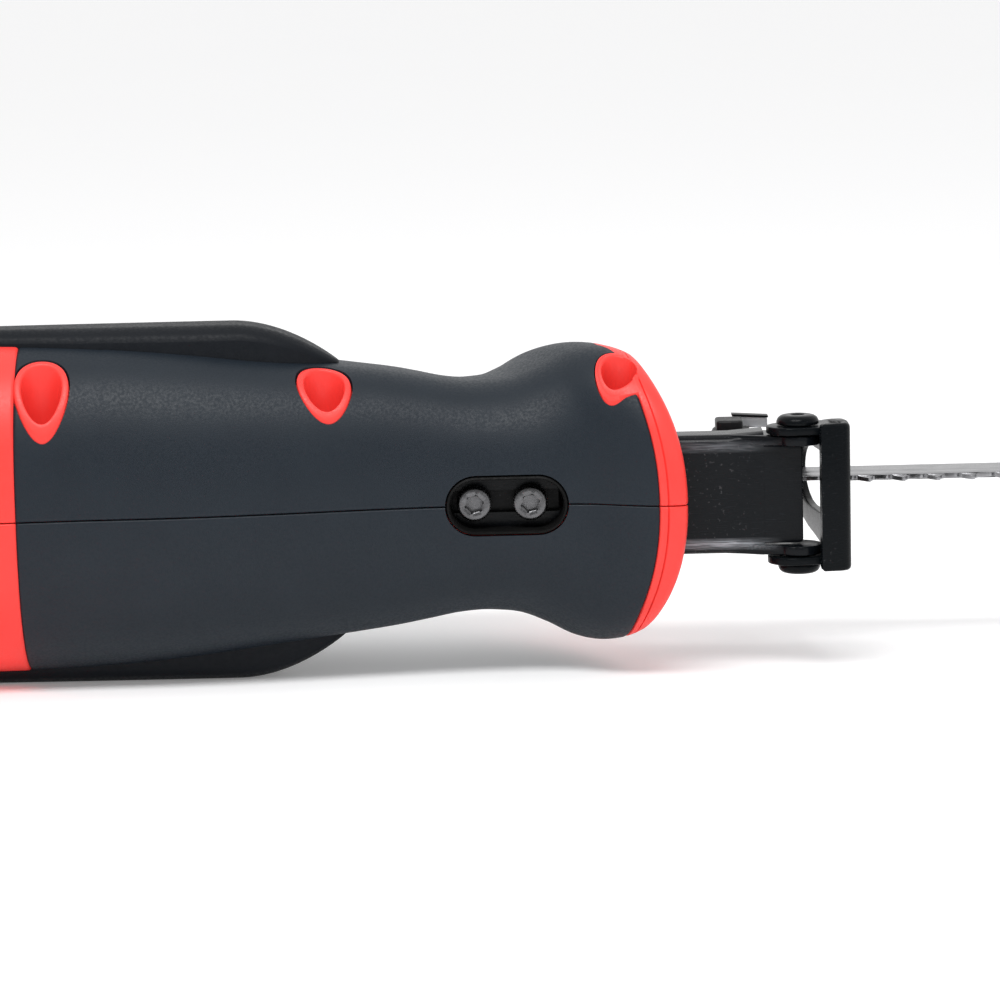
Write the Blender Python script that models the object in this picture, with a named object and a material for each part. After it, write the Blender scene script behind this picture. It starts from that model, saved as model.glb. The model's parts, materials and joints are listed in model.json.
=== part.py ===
"""Corded reciprocating saw, lying on its left side.

+X runs along the blade, +Y from the underside of the saw to its top, and +Z to the saw's right-hand side.
All lengths are in millimetres. The design frame has its origin where the spindle axis, the parting plane of the
two housing halves and the front lip of the nose meet; world() turns it into metres in the part's own frame.
"""

import math

import bmesh
import bpy
import numpy as np
from mathutils import Matrix, Vector

MM = 0.001
GAP = 0.3  # clearance between pieces that touch
SIDES = {"right": 1, "left": -1}  # sign of each half along Z
FORMS = {}  # the cutting forms that both halves share, filled in by housing_forms()

# overall frame
HANDLE_REAR = -402.6  # rear of the grip, from the nose lip
BLADE_TIP = 151.0
SAW_TOP = 40.0  # from the spindle axis
SAW_BOTTOM = -105.8
HALF_WIDTH = 46.0  # over the side pads
LIP_X = -(HANDLE_REAR + BLADE_TIP) / 2
AXIS_Y = -(SAW_TOP + SAW_BOTTOM) / 2

# body form: station, half width, underside, top, height of the widest line
BODY_FORM = [
    (8, 35.0, -45.6, 30.4, -19.0),
    (0, 35.8, -46.7, 31.2, -19.0),
    (-3, 37.2, -47.7, 32.4, -19.5),
    (-9, 38.2, -47.4, 33.0, -20.0),
    (-16, 37.2, -45.2, 31.8, -20.0),
    (-24, 33.8, -41.8, 28.8, -20.0),
    (-32, 30.8, -40.6, 26.8, -20.0),
    (-40, 29.9, -40.6, 26.2, -20.0),
    (-52, 30.3, -40.7, 26.6, -20.0),
    (-64, 31.6, -41.0, 28.0, -21.0),
    (-80, 33.8, -42.5, 31.0, -21.5),
    (-100, 36.5, -45.5, 34.5, -21.0),
    (-125, 40.0, -48.5, 37.5, -20.0),
    (-153, 42.5, -49.5, 39.5, -19.0),
    (-200, 43.4, -52.0, 40.0, -15.0),
    (-240, 42.6, -51.5, 39.6, -10.0),
    (-258, 39.5, -46.5, 37.0, -6.0),
    (-270, 31.0, -36.0, 30.0, -4.0),
    (-276, 17.0, -21.0, 17.0, -3.0),
]
BODY_STATIONS = [0, -3, -7.3, -7.6, -12, -17, -23, -29, -36, -50, -66, -84, -104, -128, -153, -169.7, -170, -205,
                 -240, -256, -268, -276]
LOWER_POWER = 2.4  # superellipse exponents of the section, below and above its widest line
UPPER_POWER = 2.2
NOSE_RAKE = math.tan(math.radians(25))  # the nose leans back towards its top
NOSE_BOW = 5.0  # the front edge falls back at the sides
RAKE_FROM, RAKE_FULL = -78.0, -34.0
RING_STEP, GRIP_REAR = -7.45, -169.85  # ends of the soft front grip
SKIN = 1.9  # soft grip
WALL = 2.6  # housing
MOUTH_WALL = 6.5
MOUTH_REAR = -20.0
AROUND = 24

CAVITY_STATIONS = [8, 0, -3, -12, -17, -22, -28, -30.5, -34, -42, -52, -66, -82, -100, -120, -142, -158, -172,
                   -172.5, -192, -218, -240, -252, -262, -268.5]

# D-handle: centre line and in-plane half depth
HANDLE_LINE = [(-246, 16, 14), (-285, 23, 14), (-325, 22, 15), (-360, 8, 17), (-378, -22, 17), (-384, -56, 16.5),
               (-372, -84, 15), (-340, -93, 11), (-300, -80, 11), (-262, -53, 11), (-238, -36, 11)]
HANDLE_HALF = 17.0  # across the saw
HANDLE_STEPS = 21
HANDLE_AROUND = 12
SECTION_POWER = 2.6
REAR_GRIP_STEPS = (8, 11)  # steps of the handle line under the soft rear grip

# shoe clamp recess in the underside
RECESS_X = (-62.0, -30.5)
RECESS_HALF = 7.8
CLAMP_SCREW_X = (-54.6, -40.3)

# screws that close the housing: x, y of each axis, which runs along Z
HOUSING_SCREWS = [(-17, -36.6), (-92, -34.2), (-48, 20), (-120, 27), (-163, -41), (-163, 27), (-300, 22),
                  (-383, -62), (-318, -86.5)]
BOSS_R, POST_R, WINDOW_R, COUNTERBORE_R = 6.4, 3.8, 6.8, 5.0
BOSS_FROM = 15.8  # height over the parting plane at which a slim post widens into the boss that holds the head
SCREW_HEAD_R, SCREW_HEAD_H, SCREW_R, PILOT_R = 4.0, 3.0, 1.9, 2.3
BODY_HEAD_Z, HANDLE_HEAD_Z, SCREW_TIP_Z = 16.4, 8.3, -12.0

# air slots: rear edge of the first one, count
VENT_ROWS = ((-252.0, 4), (-190.0, 3))
VENT_PITCH, VENT_WIDTH = 7.0, 3.2
VENT_Y = (-23.1, 13.4)

# side pads
PAD_STATIONS = (-88.6, -90, -93, -98, -105, -116, -135, -165, -195, -212, -221, -225)
PAD_ACROSS = (-1, -0.72, 0, 0.72, 1)
PAD_DROP, PAD_TAIL, PAD_TAIL_DROP = 10.4, -205.0, 2.0
PAD_TIP, PAD_CENTRE, PAD_REAR, PAD_BEND = -88.6, -150.0, -225.0, -116.0
PAD_MID_Y, PAD_HALF_Y = -20.0, 13.0

# motor: rear, front, outer radius and bore of each ring
MOTOR_Y = -18.0
STATOR = (-233, -187, 28, 20.2)
ARMATURE_ENDS, WINDING_ENDS, CORE_ENDS = (-263.5, -118.5), (-236, -184), (-231.5, -188.5)
WINDING_R, WINDING_OUT, CORE_R = 14, 15.5, 19.5
COMMUTATOR = (-250, -239, 11)
REAR_BEARING, FRONT_BEARING, BEARING_R = (-263, -255), (-157, -149), 11
REAR_BRACKET, FRONT_BRACKET = (-262, -258, 23), (-156, -152, 25.5)
BRACKET_TOP_Y = -9.0  # the front bracket is cut level, under the gear case
FAN, FAN_BLADES, FAN_HUB = (-181, -174, 25.5), 11, 11
PINION, PINION_ROOT = (-131, -119, 5.5), 4.9
BRUSH = (-248, -241, 3, 11.4, 23)  # rear, front, half height, near and far from the axis
BRUSH_HOLDER = (-250, -239, 5, 13, 28)

# drive
SHAFT_R = 4.0
CRANK_X, CRANK_R, GEAR_R = -104.0, 14.0, 25.0
PINION_TEETH, GEAR_TEETH = 7, 42
PLUNGER_R = 7.0
FLAT_FRONT, FLAT_Y = -56.8, -4.3  # flat under the plunger, which clears the crank roller over the whole stroke
YOKE_X = CRANK_X + CRANK_R  # the crank pin stands forward, with the plunger at its front end

# gear case outline, seen along Y
CASE_FRONT, CASE_REAR, CASE_HALF, CASE_POWER = 31.0, 44.5, 29.0, 2.5
CASE_AROUND = 24
# height, size against the case's full outline
TRAY_OUTSIDE = [(-27.5, 0.74), (-25.2, 0.8), (-15, 0.8), (-13.7, 1.0), (-GAP / 2, 1.0)]
TRAY_INSIDE = [(-25, 0.7), (-14.6, 0.74), (-13.0, 0.93), (5, 0.93)]
COVER_OUTSIDE = [(GAP / 2, 1.0), (8, 0.92), (16, 0.74)]
COVER_INSIDE = [(-5, 0.93), (1, 0.93), (7, 0.86), (13.5, 0.66)]
AXLE_R, AXLE_Y = 5, (-27.5, -5.5)
GEAR_Y, TOOTH_HEIGHT = (-12.2, -7.6), 1.6
PIN_R, PIN_Y = 2.5, (-12, -4.5)
ROLLER_R, ROLLER_Y = 4.2, (-7.2, -4.6)

# plunger and its guides
YOKE_ENDS, YOKE_HALF_Y, YOKE_HALF_Z, YOKE_SLOT = (-96.6, -83.6), 4, 20.0, (4.6, 18.6)
BUSH_R, REAR_BUSH, FRONT_BUSH = 9, (-69, -59), (-47, -37)
BARREL_R, FLANGE_R, BARREL_X = 13.5, 18.5, (-70, -66, -36)
FRONT_SEAL = (-35.6, -31, 17.5)

# blade clamp
HOLDER = [(5.3, 0), (5.3, 9.6), (19, 9.6), (19, 11.4), (24.5, 10.6), (24.5, 0)]
HOLDER_R = 9.6
COLLAR = (8, 18.5, 13)
LUG = [(9, -4.5), (16, -4.5), (16, 4.5), (9, 4.5)]
LUG_Z = (11, 15.3)
SPRING = (5.6, 7.7, 11.2)
ARM = [(14.5, 12.1), (23, 12.1), (23, 15.2), (14.5, 15.7)]
ARM_Y = (5, 8)

# controls on the handle
TRIGGER = [(-359, -4), (-350, -4), (-345, -12), (-346, -24), (-352, -38), (-360, -45), (-367, -43), (-369, -20),
           (-366, -8)]
TRIGGER_HALF = 6.6
TRIGGER_PIVOT = (-360, -8, 0)
SWITCH_BODY = (-388.5, -375.5, -50, -22, -8, 8)
LOCK_BUTTON = [(-19.6, 0), (-19.6, 4), (-18.6, 5), (-9, 5), (-9, 0)]
TRIGGER_SLOT = (-371, -335, -48, -3, -7.4, 7.4)
LOCK_AT = (-372, -2)
DIAL_AT, DIAL_R, DIAL_HALF = (-326, 27), 11.5, 3.8
DIAL_SLOT = (-339, -313, 26, 60, -4.4, 4.4)
GLAND = [(0, 3.6), (0, 7.4), (8, 7.4), (8, 6), (17.5, 6), (18.5, 7.6), (22, 7), (22, 3.6)]
GLAND_AT, GLAND_TURN = (-372, -84), 233.0  # degrees in the plane of the handle
CORD_CLAMP = (-363, -350, -92, -88, -9, 9)

# shoe
BAR_HALF, BAR_UNDER, BAR_SHEET, BAR_TOP = 15.4, -32.5, 2.5, -22.5
BAR_REAR, BAR_FRONT = -71.5, 29.4
SHOE_PIVOT = (28.3, -31.5)
SHOE_LEAN = 8.0  # degrees that the shoe stands back at rest
SHOE_REAR, SHOE_FRONT, SHOE_HALF, SHOE_UNDER, SHOE_TOP = 33.0, 40.2, 19.1, -41.8, 19.0
SHOE_SHEET, EAR_SHEET = 2.6, 2.0
RIVET_OUT = 20.4

# blade
BLADE_HALF_H, BLADE_T, TOOTH_PITCH, TOOTH_DEPTH = 9.5, 1.1, 4.5, 1.6
BLADE_ROOT, TANG_REAR = 27.0, 7.0

FINISHES = {
    "red": ((0.87, 0.08, 0.07), 0.45, 0.0),
    "soft": ((0.04, 0.05, 0.06), 0.75, 0.0),
    "pad": ((0.02, 0.02, 0.025), 0.7, 0.0),
    "paint": ((0.012, 0.013, 0.016), 0.3, 0.0),
    "black": ((0.02, 0.02, 0.02), 0.5, 0.0),
    "steel": ((0.55, 0.55, 0.56), 0.35, 1.0),
    "alloy": ((0.62, 0.63, 0.65), 0.5, 1.0),
    "copper": ((0.72, 0.38, 0.2), 0.4, 1.0),
    "brass": ((0.75, 0.6, 0.3), 0.35, 1.0),
    "carbon": ((0.03, 0.03, 0.03), 0.6, 0.0),
}


# ---- frame and objects ----

def world(x, y, z):
    return Vector(((x + LIP_X) * MM, (y + AXIS_Y) * MM, (z + HALF_WIDTH) * MM))


def clear_scene():
    for old in list(bpy.data.objects):
        bpy.data.objects.remove(old)


def finish(name):
    """One Principled material for one sub-part."""
    color, roughness, metallic = FINISHES[name]
    material = bpy.data.materials.new(name)
    material.use_nodes = True
    shader = material.node_tree.nodes["Principled BSDF"]
    shader.inputs["Base Color"].default_value = (*color, 1)
    shader.inputs["Roughness"].default_value = roughness
    shader.inputs["Metallic"].default_value = metallic
    return material


def make(name, bm, finish_name, pivot=(0, 0, 0)):
    """Object from a mesh in design coordinates, with its origin at the pivot."""
    bmesh.ops.recalc_face_normals(bm, faces=bm.faces)
    bm.transform(Matrix.Scale(MM, 4) @ Matrix.Translation(-Vector(pivot)))
    mesh = bpy.data.meshes.new(name)
    bm.to_mesh(mesh)
    bm.free()
    mesh.materials.append(finish(finish_name))
    part = bpy.data.objects.new(name, mesh)
    part.location = world(*pivot)
    bpy.context.scene.collection.objects.link(part)
    mesh.shade_smooth()
    mesh.set_sharp_from_angle(angle=math.radians(35))
    return part


def tool(name, bm):
    """A cutter or a form used by Boolean modifiers only."""
    part = make(name, bm, "black")
    part.hide_render = True
    part.display_type = "WIRE"
    return part


def combine(part, other, operation="DIFFERENCE", solver="EXACT"):
    modifier = part.modifiers.new(other.name, "BOOLEAN")
    modifier.operation = operation
    modifier.solver = solver
    modifier.object = other
    return part


# ---- shapes ----

def loft(rings):
    """Closed solid through rings of equal length, with a flat cap at each end."""
    bm = bmesh.new()
    rows = [[bm.verts.new(p) for p in ring] for ring in rings]
    count = len(rows[0])
    for near, far in zip(rows, rows[1:]):
        for i in range(count):
            j = (i + 1) % count
            bm.faces.new((near[i], near[j], far[j], far[i]))
    bm.faces.new(rows[0])
    bm.faces.new(list(reversed(rows[-1])))
    return bm


def box(x0, x1, y0, y1, z0, z1):
    ring = [(x0, y0), (x1, y0), (x1, y1), (x0, y1)]
    return loft([[(x, y, z) for x, y in ring] for z in (z0, z1)])


def slab(outline, z0, z1):
    """Outline in the XY plane, extruded along Z."""
    return loft([[(x, y, z) for x, y in outline] for z in (z0, z1)])


def arc(cx, cy, radius, start, end, steps):
    angles = np.radians(np.linspace(start, end, steps))
    return [(cx + radius * math.cos(a), cy + radius * math.sin(a)) for a in angles]


def turned(profile, y, z, axis="X", segments=20, centre_x=0.0):
    """Profile of (distance along the axis, radius) points, a closed loop, turned about an axis through (y, z).

    About Z, y is the centre's height and centre_x its place along the saw; about Y, z is 0."""
    bm = bmesh.new()
    spots = np.linspace(0, 2 * math.pi, segments, endpoint=False)
    rows = []
    for along, radius in profile:
        ring = []
        for a in spots[:1] if radius == 0 else spots:
            u, v = radius * math.cos(a), radius * math.sin(a)
            point = {"X": (along, y + u, z + v), "Y": (centre_x + u, along, z + v),
                     "Z": (centre_x + u, y + v, along)}[axis]
            ring.append(bm.verts.new(point))
        rows.append(ring)
    for near, far in zip(rows, rows[1:] + rows[:1]):
        if len(near) == len(far) == 1:
            continue
        for i in range(segments):
            j = (i + 1) % segments
            corners = [near[i % len(near)], near[j % len(near)], far[j % len(far)], far[i % len(far)]]
            bm.faces.new(list(dict.fromkeys(corners)))
    return bm


def rod(x0, x1, radius, y, z=0.0, axis="X", segments=20, centre_x=0.0):
    return turned([(x0, 0), (x0, radius), (x1, radius), (x1, 0)], y, z, axis, segments, centre_x)


def tube(x0, x1, outer, inner, y, z=0.0, axis="X", segments=20, centre_x=0.0):
    return turned([(x0, inner), (x0, outer), (x1, outer), (x1, inner)], y, z, axis, segments, centre_x)


def through_points(table, spots):
    """Smooth curve through the rows of a table, whose first column is the parameter."""
    table = np.array(sorted(table), float)
    keys, values = table[:, 0], table[:, 1:]
    slopes = np.gradient(values, keys, axis=0)
    spots = np.clip(np.asarray(spots, float), keys[0], keys[-1])
    index = np.clip(np.searchsorted(keys, spots) - 1, 0, len(keys) - 2)
    step = keys[index + 1] - keys[index]
    t = ((spots - keys[index]) / step)[:, None]
    step = step[:, None]
    return ((2 * t**3 - 3 * t**2 + 1) * values[index] + (t**3 - 2 * t**2 + t) * step * slopes[index]
            + (3 * t**2 - 2 * t**3) * values[index + 1] + (t**3 - t**2) * step * slopes[index + 1])


def smooth_step(value, low, high):
    t = min(1.0, max(0.0, (value - low) / (high - low)))
    return t * t * (3 - 2 * t)


# ---- the body form ----

def body_ring(station, inset):
    """Section of the body at a station, inset all round; in the nose its plane leans back and bows."""
    width, under, top, middle = through_points(BODY_FORM, [station])[0]
    width, under, top = width - inset, under + inset, top - inset
    lean = smooth_step(station, RAKE_FROM, RAKE_FULL)
    points = []
    for i in range(AROUND):
        a = 2 * math.pi * i / AROUND - math.pi / 2
        power = LOWER_POWER if math.sin(a) < 0 else UPPER_POWER
        reach = under - middle if math.sin(a) < 0 else top - middle
        y = middle + reach * abs(math.sin(a)) ** (2 / power)
        z = width * math.copysign(abs(math.cos(a)) ** (2 / power), math.cos(a))
        back = lean * (NOSE_RAKE * (y - under) + NOSE_BOW * (z / width) ** 2)
        points.append((station - back, y, z))
    return points


def body_form(stations, inset):
    """Solid of the body between stations; inset is a number or a function of the station."""
    depth = inset if callable(inset) else (lambda station: inset)
    return loft([body_ring(s, depth(s)) for s in stations])


def shell_inset(station):
    return SKIN + GAP + 0.2 if GRIP_REAR < station < RING_STEP else 0.0


def cavity_inset(station):
    if station > MOUTH_REAR:
        return MOUTH_WALL
    return SKIN + GAP + WALL if station > GRIP_REAR - WALL else WALL


def body_half_width(x, y):
    """Half width of the body behind its nose, at a height."""
    width, under, top, middle = through_points(BODY_FORM, [x])[0]
    reach, power = (under - middle, LOWER_POWER) if y < middle else (top - middle, UPPER_POWER)
    return width * max(0.0, 1 - abs((y - middle) / reach) ** power) ** (1 / power)


def handle_form(inset, first=0, last=HANDLE_STEPS):
    """Solid of the D-handle, a rounded section carried along its line, or some of its steps."""
    line = [(i / (len(HANDLE_LINE) - 1), *row) for i, row in enumerate(HANDLE_LINE)]
    spots = np.linspace(0, 1, HANDLE_STEPS)[first:last + 1]
    nudge = 0.002
    here, ahead = through_points(line, spots), through_points(line, spots + nudge)
    behind = through_points(line, spots - nudge)
    rings = []
    for (x, y, depth), (ax, ay, _), (bx, by, _) in zip(here, ahead, behind):
        tangent = Vector((ax - bx, ay - by)).normalized()
        ring = []
        for i in range(HANDLE_AROUND):
            a = 2 * math.pi * i / HANDLE_AROUND
            u = math.copysign(abs(math.cos(a)) ** (2 / SECTION_POWER), math.cos(a)) * (depth - inset)
            v = math.copysign(abs(math.sin(a)) ** (2 / SECTION_POWER), math.sin(a)) * (HANDLE_HALF - inset)
            ring.append((x - tangent.y * u, y + tangent.x * u, v))
        rings.append(ring)
    return loft(rings)


# ---- housing ----

def half_space(side):
    """Everything on the other side of the parting plane."""
    near, far = GAP / 2, -2 * HALF_WIDTH
    return tool("beyond_" + side, box(HANDLE_REAR - 20, BLADE_TIP, SAW_BOTTOM - 20, SAW_TOP + 20,
                                      *sorted((far * SIDES[side], near * SIDES[side]))))


def stadium(x0, x1, half, y0, y1):
    """Slot with round ends in the underside, running along Y."""
    outline = arc(x1 - half, 0, half, -90, 90, 8) + arc(x0 + half, 0, half, 90, 270, 8)
    return loft([[(x, y, z) for x, z in outline] for y in (y0, y1)])


def gather(pieces):
    """Several separate shapes in one mesh."""
    whole = bmesh.new()
    for piece in pieces:
        mesh = bpy.data.meshes.new("piece")
        bmesh.ops.recalc_face_normals(piece, faces=piece.faces)
        piece.to_mesh(mesh)
        piece.free()
        whole.from_mesh(mesh)
        bpy.data.meshes.remove(mesh)
    return whole


def in_handle(x):
    return x < HANDLE_LINE[1][0]


def head_z(x):
    return HANDLE_HEAD_Z if in_handle(x) else BODY_HEAD_Z


def posts(spots, side, radius, start, end, skin):
    """Round posts along the screws, trimmed by an outer skin."""
    span = sorted((start * SIDES[side], end * SIDES[side]))
    group = tool("posts", gather(rod(*span, radius, y, 0, "Z", 12, x) for x, y in spots))
    return combine(group, FORMS[skin], "INTERSECT")


def screw_hole(x, y, side):
    if side == "left":
        return rod(SCREW_TIP_Z - 2, 6.0, PILOT_R, y, 0, "Z", 10, x)
    seat = head_z(x) - GAP
    profile = [(-6, 0), (-6, PILOT_R), (seat, PILOT_R), (seat, COUNTERBORE_R), (HALF_WIDTH + 5, COUNTERBORE_R),
               (HALF_WIDTH + 5, 0)]
    return turned(profile, y, 0, "Z", 12, x)


def vents(side):
    """Air slots: intake beside the commutator and outlet beside the fan."""
    slots = []
    span = sorted((25 * SIDES[side], (HALF_WIDTH + 2) * SIDES[side]))
    for first, count in VENT_ROWS:
        for i in range(count):
            x = first + VENT_PITCH * i
            slots.append(box(x, x + VENT_WIDTH, *VENT_Y, *span))
    return slots


def housing_forms():
    """Forms shared by both halves."""
    FORMS["body"] = tool("body_form", body_form(BODY_STATIONS, shell_inset))
    FORMS["body_skin"] = tool("body_skin", body_form(BODY_STATIONS, 0.25))
    FORMS["under_skin"] = tool("under_skin", body_form(BODY_STATIONS, SKIN + GAP + 0.25))
    FORMS["cavity"] = tool("cavity", body_form(CAVITY_STATIONS, cavity_inset))
    FORMS["handle"] = tool("handle_form", handle_form(0))
    FORMS["handle_skin"] = tool("handle_skin", handle_form(0.25))
    FORMS["handle_cavity"] = tool("handle_cavity", handle_form(WALL))
    FORMS["recess"] = tool("recess", stadium(*RECESS_X, RECESS_HALF, SAW_BOTTOM, -30))
    FORMS["trigger_slot"] = tool("trigger_slot", box(*TRIGGER_SLOT))
    FORMS["dial_slot"] = tool("dial_slot", box(*DIAL_SLOT))
    x, y = LOCK_AT
    FORMS["lock_hole"] = tool("lock_hole", rod(-40, 0, 5.4, y, 0, "Z", 16, x))
    FORMS["gland_hole"] = tool("gland_hole", gland_turned([(4, 0), (4, 6.3), (30, 6.3), (30, 0)]))


def gland_turned(profile):
    """Turned shape about the cord inlet's axis, which points down and back from the foot of the grip."""
    bm = turned(profile, 0, 0, "X", 18)
    bm.transform(Matrix.Translation((*GLAND_AT, 0)) @ Matrix.Rotation(math.radians(GLAND_TURN), 4, "Z"))
    return bm


def housing(side):
    """One clamshell half: body and D-handle, hollow, with its bosses, vents and openings."""
    part = make(side + "_housing", body_form(BODY_STATIONS, shell_inset), "red")
    combine(part, FORMS["handle"], "UNION")
    combine(part, FORMS["cavity"])
    combine(part, FORMS["handle_cavity"])
    body_spots = [spot for spot in HOUSING_SCREWS if not in_handle(spot[0])]
    handle_spots = [spot for spot in HOUSING_SCREWS if in_handle(spot[0])]
    end = BOSS_FROM + 2 if side == "right" else 18.0
    groups = [posts(body_spots, side, POST_R, -4.0, end, "under_skin"),
              posts(handle_spots, side, BOSS_R, -4.0, HALF_WIDTH, "handle_skin")]
    if side == "right":
        groups.append(posts(body_spots, side, BOSS_R, BOSS_FROM, HALF_WIDTH, "body_skin"))
    for group in groups:
        combine(part, group, "UNION", "MANIFOLD")
    openings = [tool("screw_holes", gather(screw_hole(x, y, side) for x, y in HOUSING_SCREWS)),
                tool("vents", gather(vents(side))), half_space(side)]
    openings += [FORMS[name] for name in ("recess", "trigger_slot", "dial_slot", "gland_hole")]
    if side == "left":
        openings.append(FORMS["lock_hole"])
    for opening in openings:  # small holes in a thin shell, where EXACT leaves open edges
        combine(part, opening, "DIFFERENCE", "MANIFOLD")


def front_grip(side):
    """Soft skin over the nose and body, with windows round the screw bosses."""
    stations = [s for s in BODY_STATIONS if -169.8 < s < -7.4]
    part = make(side + "_front_grip", body_form(stations, 0), "soft")
    combine(part, tool("under_skin", body_form(BODY_STATIONS[:20], SKIN)))
    combine(part, FORMS["recess"])
    if side == "right":
        for x, y in HOUSING_SCREWS[:6]:
            combine(part, tool("window", rod(BOSS_FROM - 0.4, 60, WINDOW_R, y, 0, "Z", 22, x)))
    combine(part, half_space(side))


def rear_grip(side):
    """Soft skin let on to the outside of the grip, behind the trigger."""
    part = make(side + "_rear_grip", handle_form(-SKIN - GAP, *REAR_GRIP_STEPS), "soft")
    combine(part, tool("under_grip", handle_form(-GAP, REAR_GRIP_STEPS[0] - 1, REAR_GRIP_STEPS[1] + 1)))
    combine(part, tool("finger_side", slab([(-357, 12), (-335, 30), (-300, -20), (-330, -80), (-366, -70),
                                            (-372, -40)], -30, 30)))
    combine(part, half_space(side))


def side_pad(side):
    """Raised pad on the flank: a leaf outline, flat outside, following the body inside."""
    rings = []
    for x in PAD_STATIONS:
        reach = (PAD_TIP if x > PAD_CENTRE else PAD_REAR) - PAD_CENTRE
        height = PAD_HALF_Y * math.sqrt(max(0.0, 1 - ((x - PAD_CENTRE) / reach) ** 2))
        taper = max(0.0, (x - PAD_BEND) / (PAD_TIP - PAD_BEND)) ** 1.9
        tail = max(0.0, (PAD_TAIL - x) / (PAD_TAIL - PAD_REAR)) ** 2
        outer = HALF_WIDTH - taper * PAD_DROP - tail * PAD_TAIL_DROP
        across = np.array(PAD_ACROSS) * max(height, 1.0) + PAD_MID_Y
        floor = [body_half_width(x, y) + 2 * GAP for y in across]
        face = [floor[0] + 0.6, max(outer, floor[1] + 0.6), max(outer, floor[2] + 0.6),
                max(outer, floor[3] + 0.6), floor[4] + 0.6]
        loop = list(zip(across, face)) + list(zip(across, floor))[::-1]
        rings.append([(x, y, z * SIDES[side]) for y, z in loop])
    make(side + "_side_pad", loft(rings), "pad")


def housing_screw(index, x, y):
    under = head_z(x)
    top = under + SCREW_HEAD_H
    profile = [(SCREW_TIP_Z, 0), (SCREW_TIP_Z, SCREW_R), (under, SCREW_R), (under, SCREW_HEAD_R),
               (top, SCREW_HEAD_R), (top, 1.6), (under + 1.2, 1.6), (under + 1.2, 0)]
    make("housing_screw_%d" % index, turned(profile, y, 0, "Z", 12, x), "steel")


# ---- motor and gears ----

def gear_outline(teeth, tip, root):
    points = []
    for i in range(teeth):
        for share, radius in ((0.0, root), (0.3, root), (0.45, tip), (0.85, tip)):
            a = 2 * math.pi * (i + share) / teeth
            points.append((radius * math.cos(a), radius * math.sin(a)))
    return points


def along_x(outline, x0, x1, y):
    return loft([[(x, y + u, v) for u, v in outline] for x in (x0, x1)])


def bored(part, x0, x1, radius, y):
    return combine(part, tool("bore", rod(x0 - 1, x1 + 1, radius, y, 0, "X", 16)))


def armature_profile():
    """Shaft, winding heads and core as one turned outline."""
    rear, front = ARMATURE_ENDS
    half = [(rear, 0), (rear, SHAFT_R), (WINDING_ENDS[0], SHAFT_R), (WINDING_ENDS[0], WINDING_R),
            (CORE_ENDS[0], WINDING_OUT), (CORE_ENDS[0], CORE_R)]
    return half + [(CORE_ENDS[1], CORE_R), (CORE_ENDS[1], WINDING_OUT), (WINDING_ENDS[1], WINDING_R),
                   (WINDING_ENDS[1], SHAFT_R), (front, SHAFT_R), (front, 0)]


def motor():
    pivot = (0, MOTOR_Y, 0)
    on_shaft, in_bracket = SHAFT_R + GAP, BEARING_R + GAP
    make("stator", tube(*STATOR, MOTOR_Y, 0, "X", 24), "steel")
    make("armature", turned(armature_profile(), MOTOR_Y, 0, "X", 20), "copper", pivot)
    make("commutator", tube(*COMMUTATOR, on_shaft, MOTOR_Y), "copper", pivot)
    make("rear_bearing", tube(*REAR_BEARING, BEARING_R, on_shaft, MOTOR_Y, 0, "X", 16), "steel")
    make("front_bearing", tube(*FRONT_BEARING, BEARING_R, on_shaft, MOTOR_Y, 0, "X", 16), "steel")
    make("rear_motor_bracket", tube(*REAR_BRACKET, in_bracket, MOTOR_Y), "black")
    bracket = make("front_motor_bracket", tube(*FRONT_BRACKET, in_bracket, MOTOR_Y), "alloy")
    combine(bracket, tool("bracket_top", box(-160, -148, BRACKET_TOP_Y, 20, -30, 30)))
    rear, front, tip = FAN
    blades = gear_outline(FAN_BLADES, tip, FAN_HUB)
    fan = make("cooling_fan", along_x(blades, rear, front, MOTOR_Y), "black", pivot)
    bored(fan, rear, front, on_shaft, MOTOR_Y)
    rear, front, tip = PINION
    teeth = gear_outline(PINION_TEETH, tip, PINION_ROOT)
    pinion = make("pinion", along_x(teeth, rear, front, MOTOR_Y), "steel", pivot)
    bored(pinion, rear, front, on_shaft, MOTOR_Y)


def brush_block(measures, sign):
    rear, front, half, near, far = measures
    return box(rear, front, MOTOR_Y - half, MOTOR_Y + half, *sorted((near * sign, far * sign)))


def brushes():
    for side, sign in SIDES.items():
        make(side + "_brush", brush_block(BRUSH, sign), "carbon")
        holder = make(side + "_brush_holder", brush_block(BRUSH_HOLDER, sign), "brass")
        rear, front, half, near, far = BRUSH
        hole = brush_block((rear - GAP, front + GAP, half + GAP, near - 1.4, far + 2), sign)
        combine(holder, tool("brush_hole", hole))


def case_ring(y, scale):
    """Outline of the gear case at a height, longer behind the crank than in front of it."""
    ring = []
    for i in range(CASE_AROUND):
        a = 2 * math.pi * i / CASE_AROUND
        c, s = math.cos(a), math.sin(a)
        reach = (CASE_FRONT if c > 0 else CASE_REAR) * scale
        x = CRANK_X + reach * math.copysign(abs(c) ** (2 / CASE_POWER), c)
        ring.append((x, y, CASE_HALF * scale * math.copysign(abs(s) ** (2 / CASE_POWER), s)))
    return ring


def case_form(rows):
    return loft([case_ring(*row) for row in rows])


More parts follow.
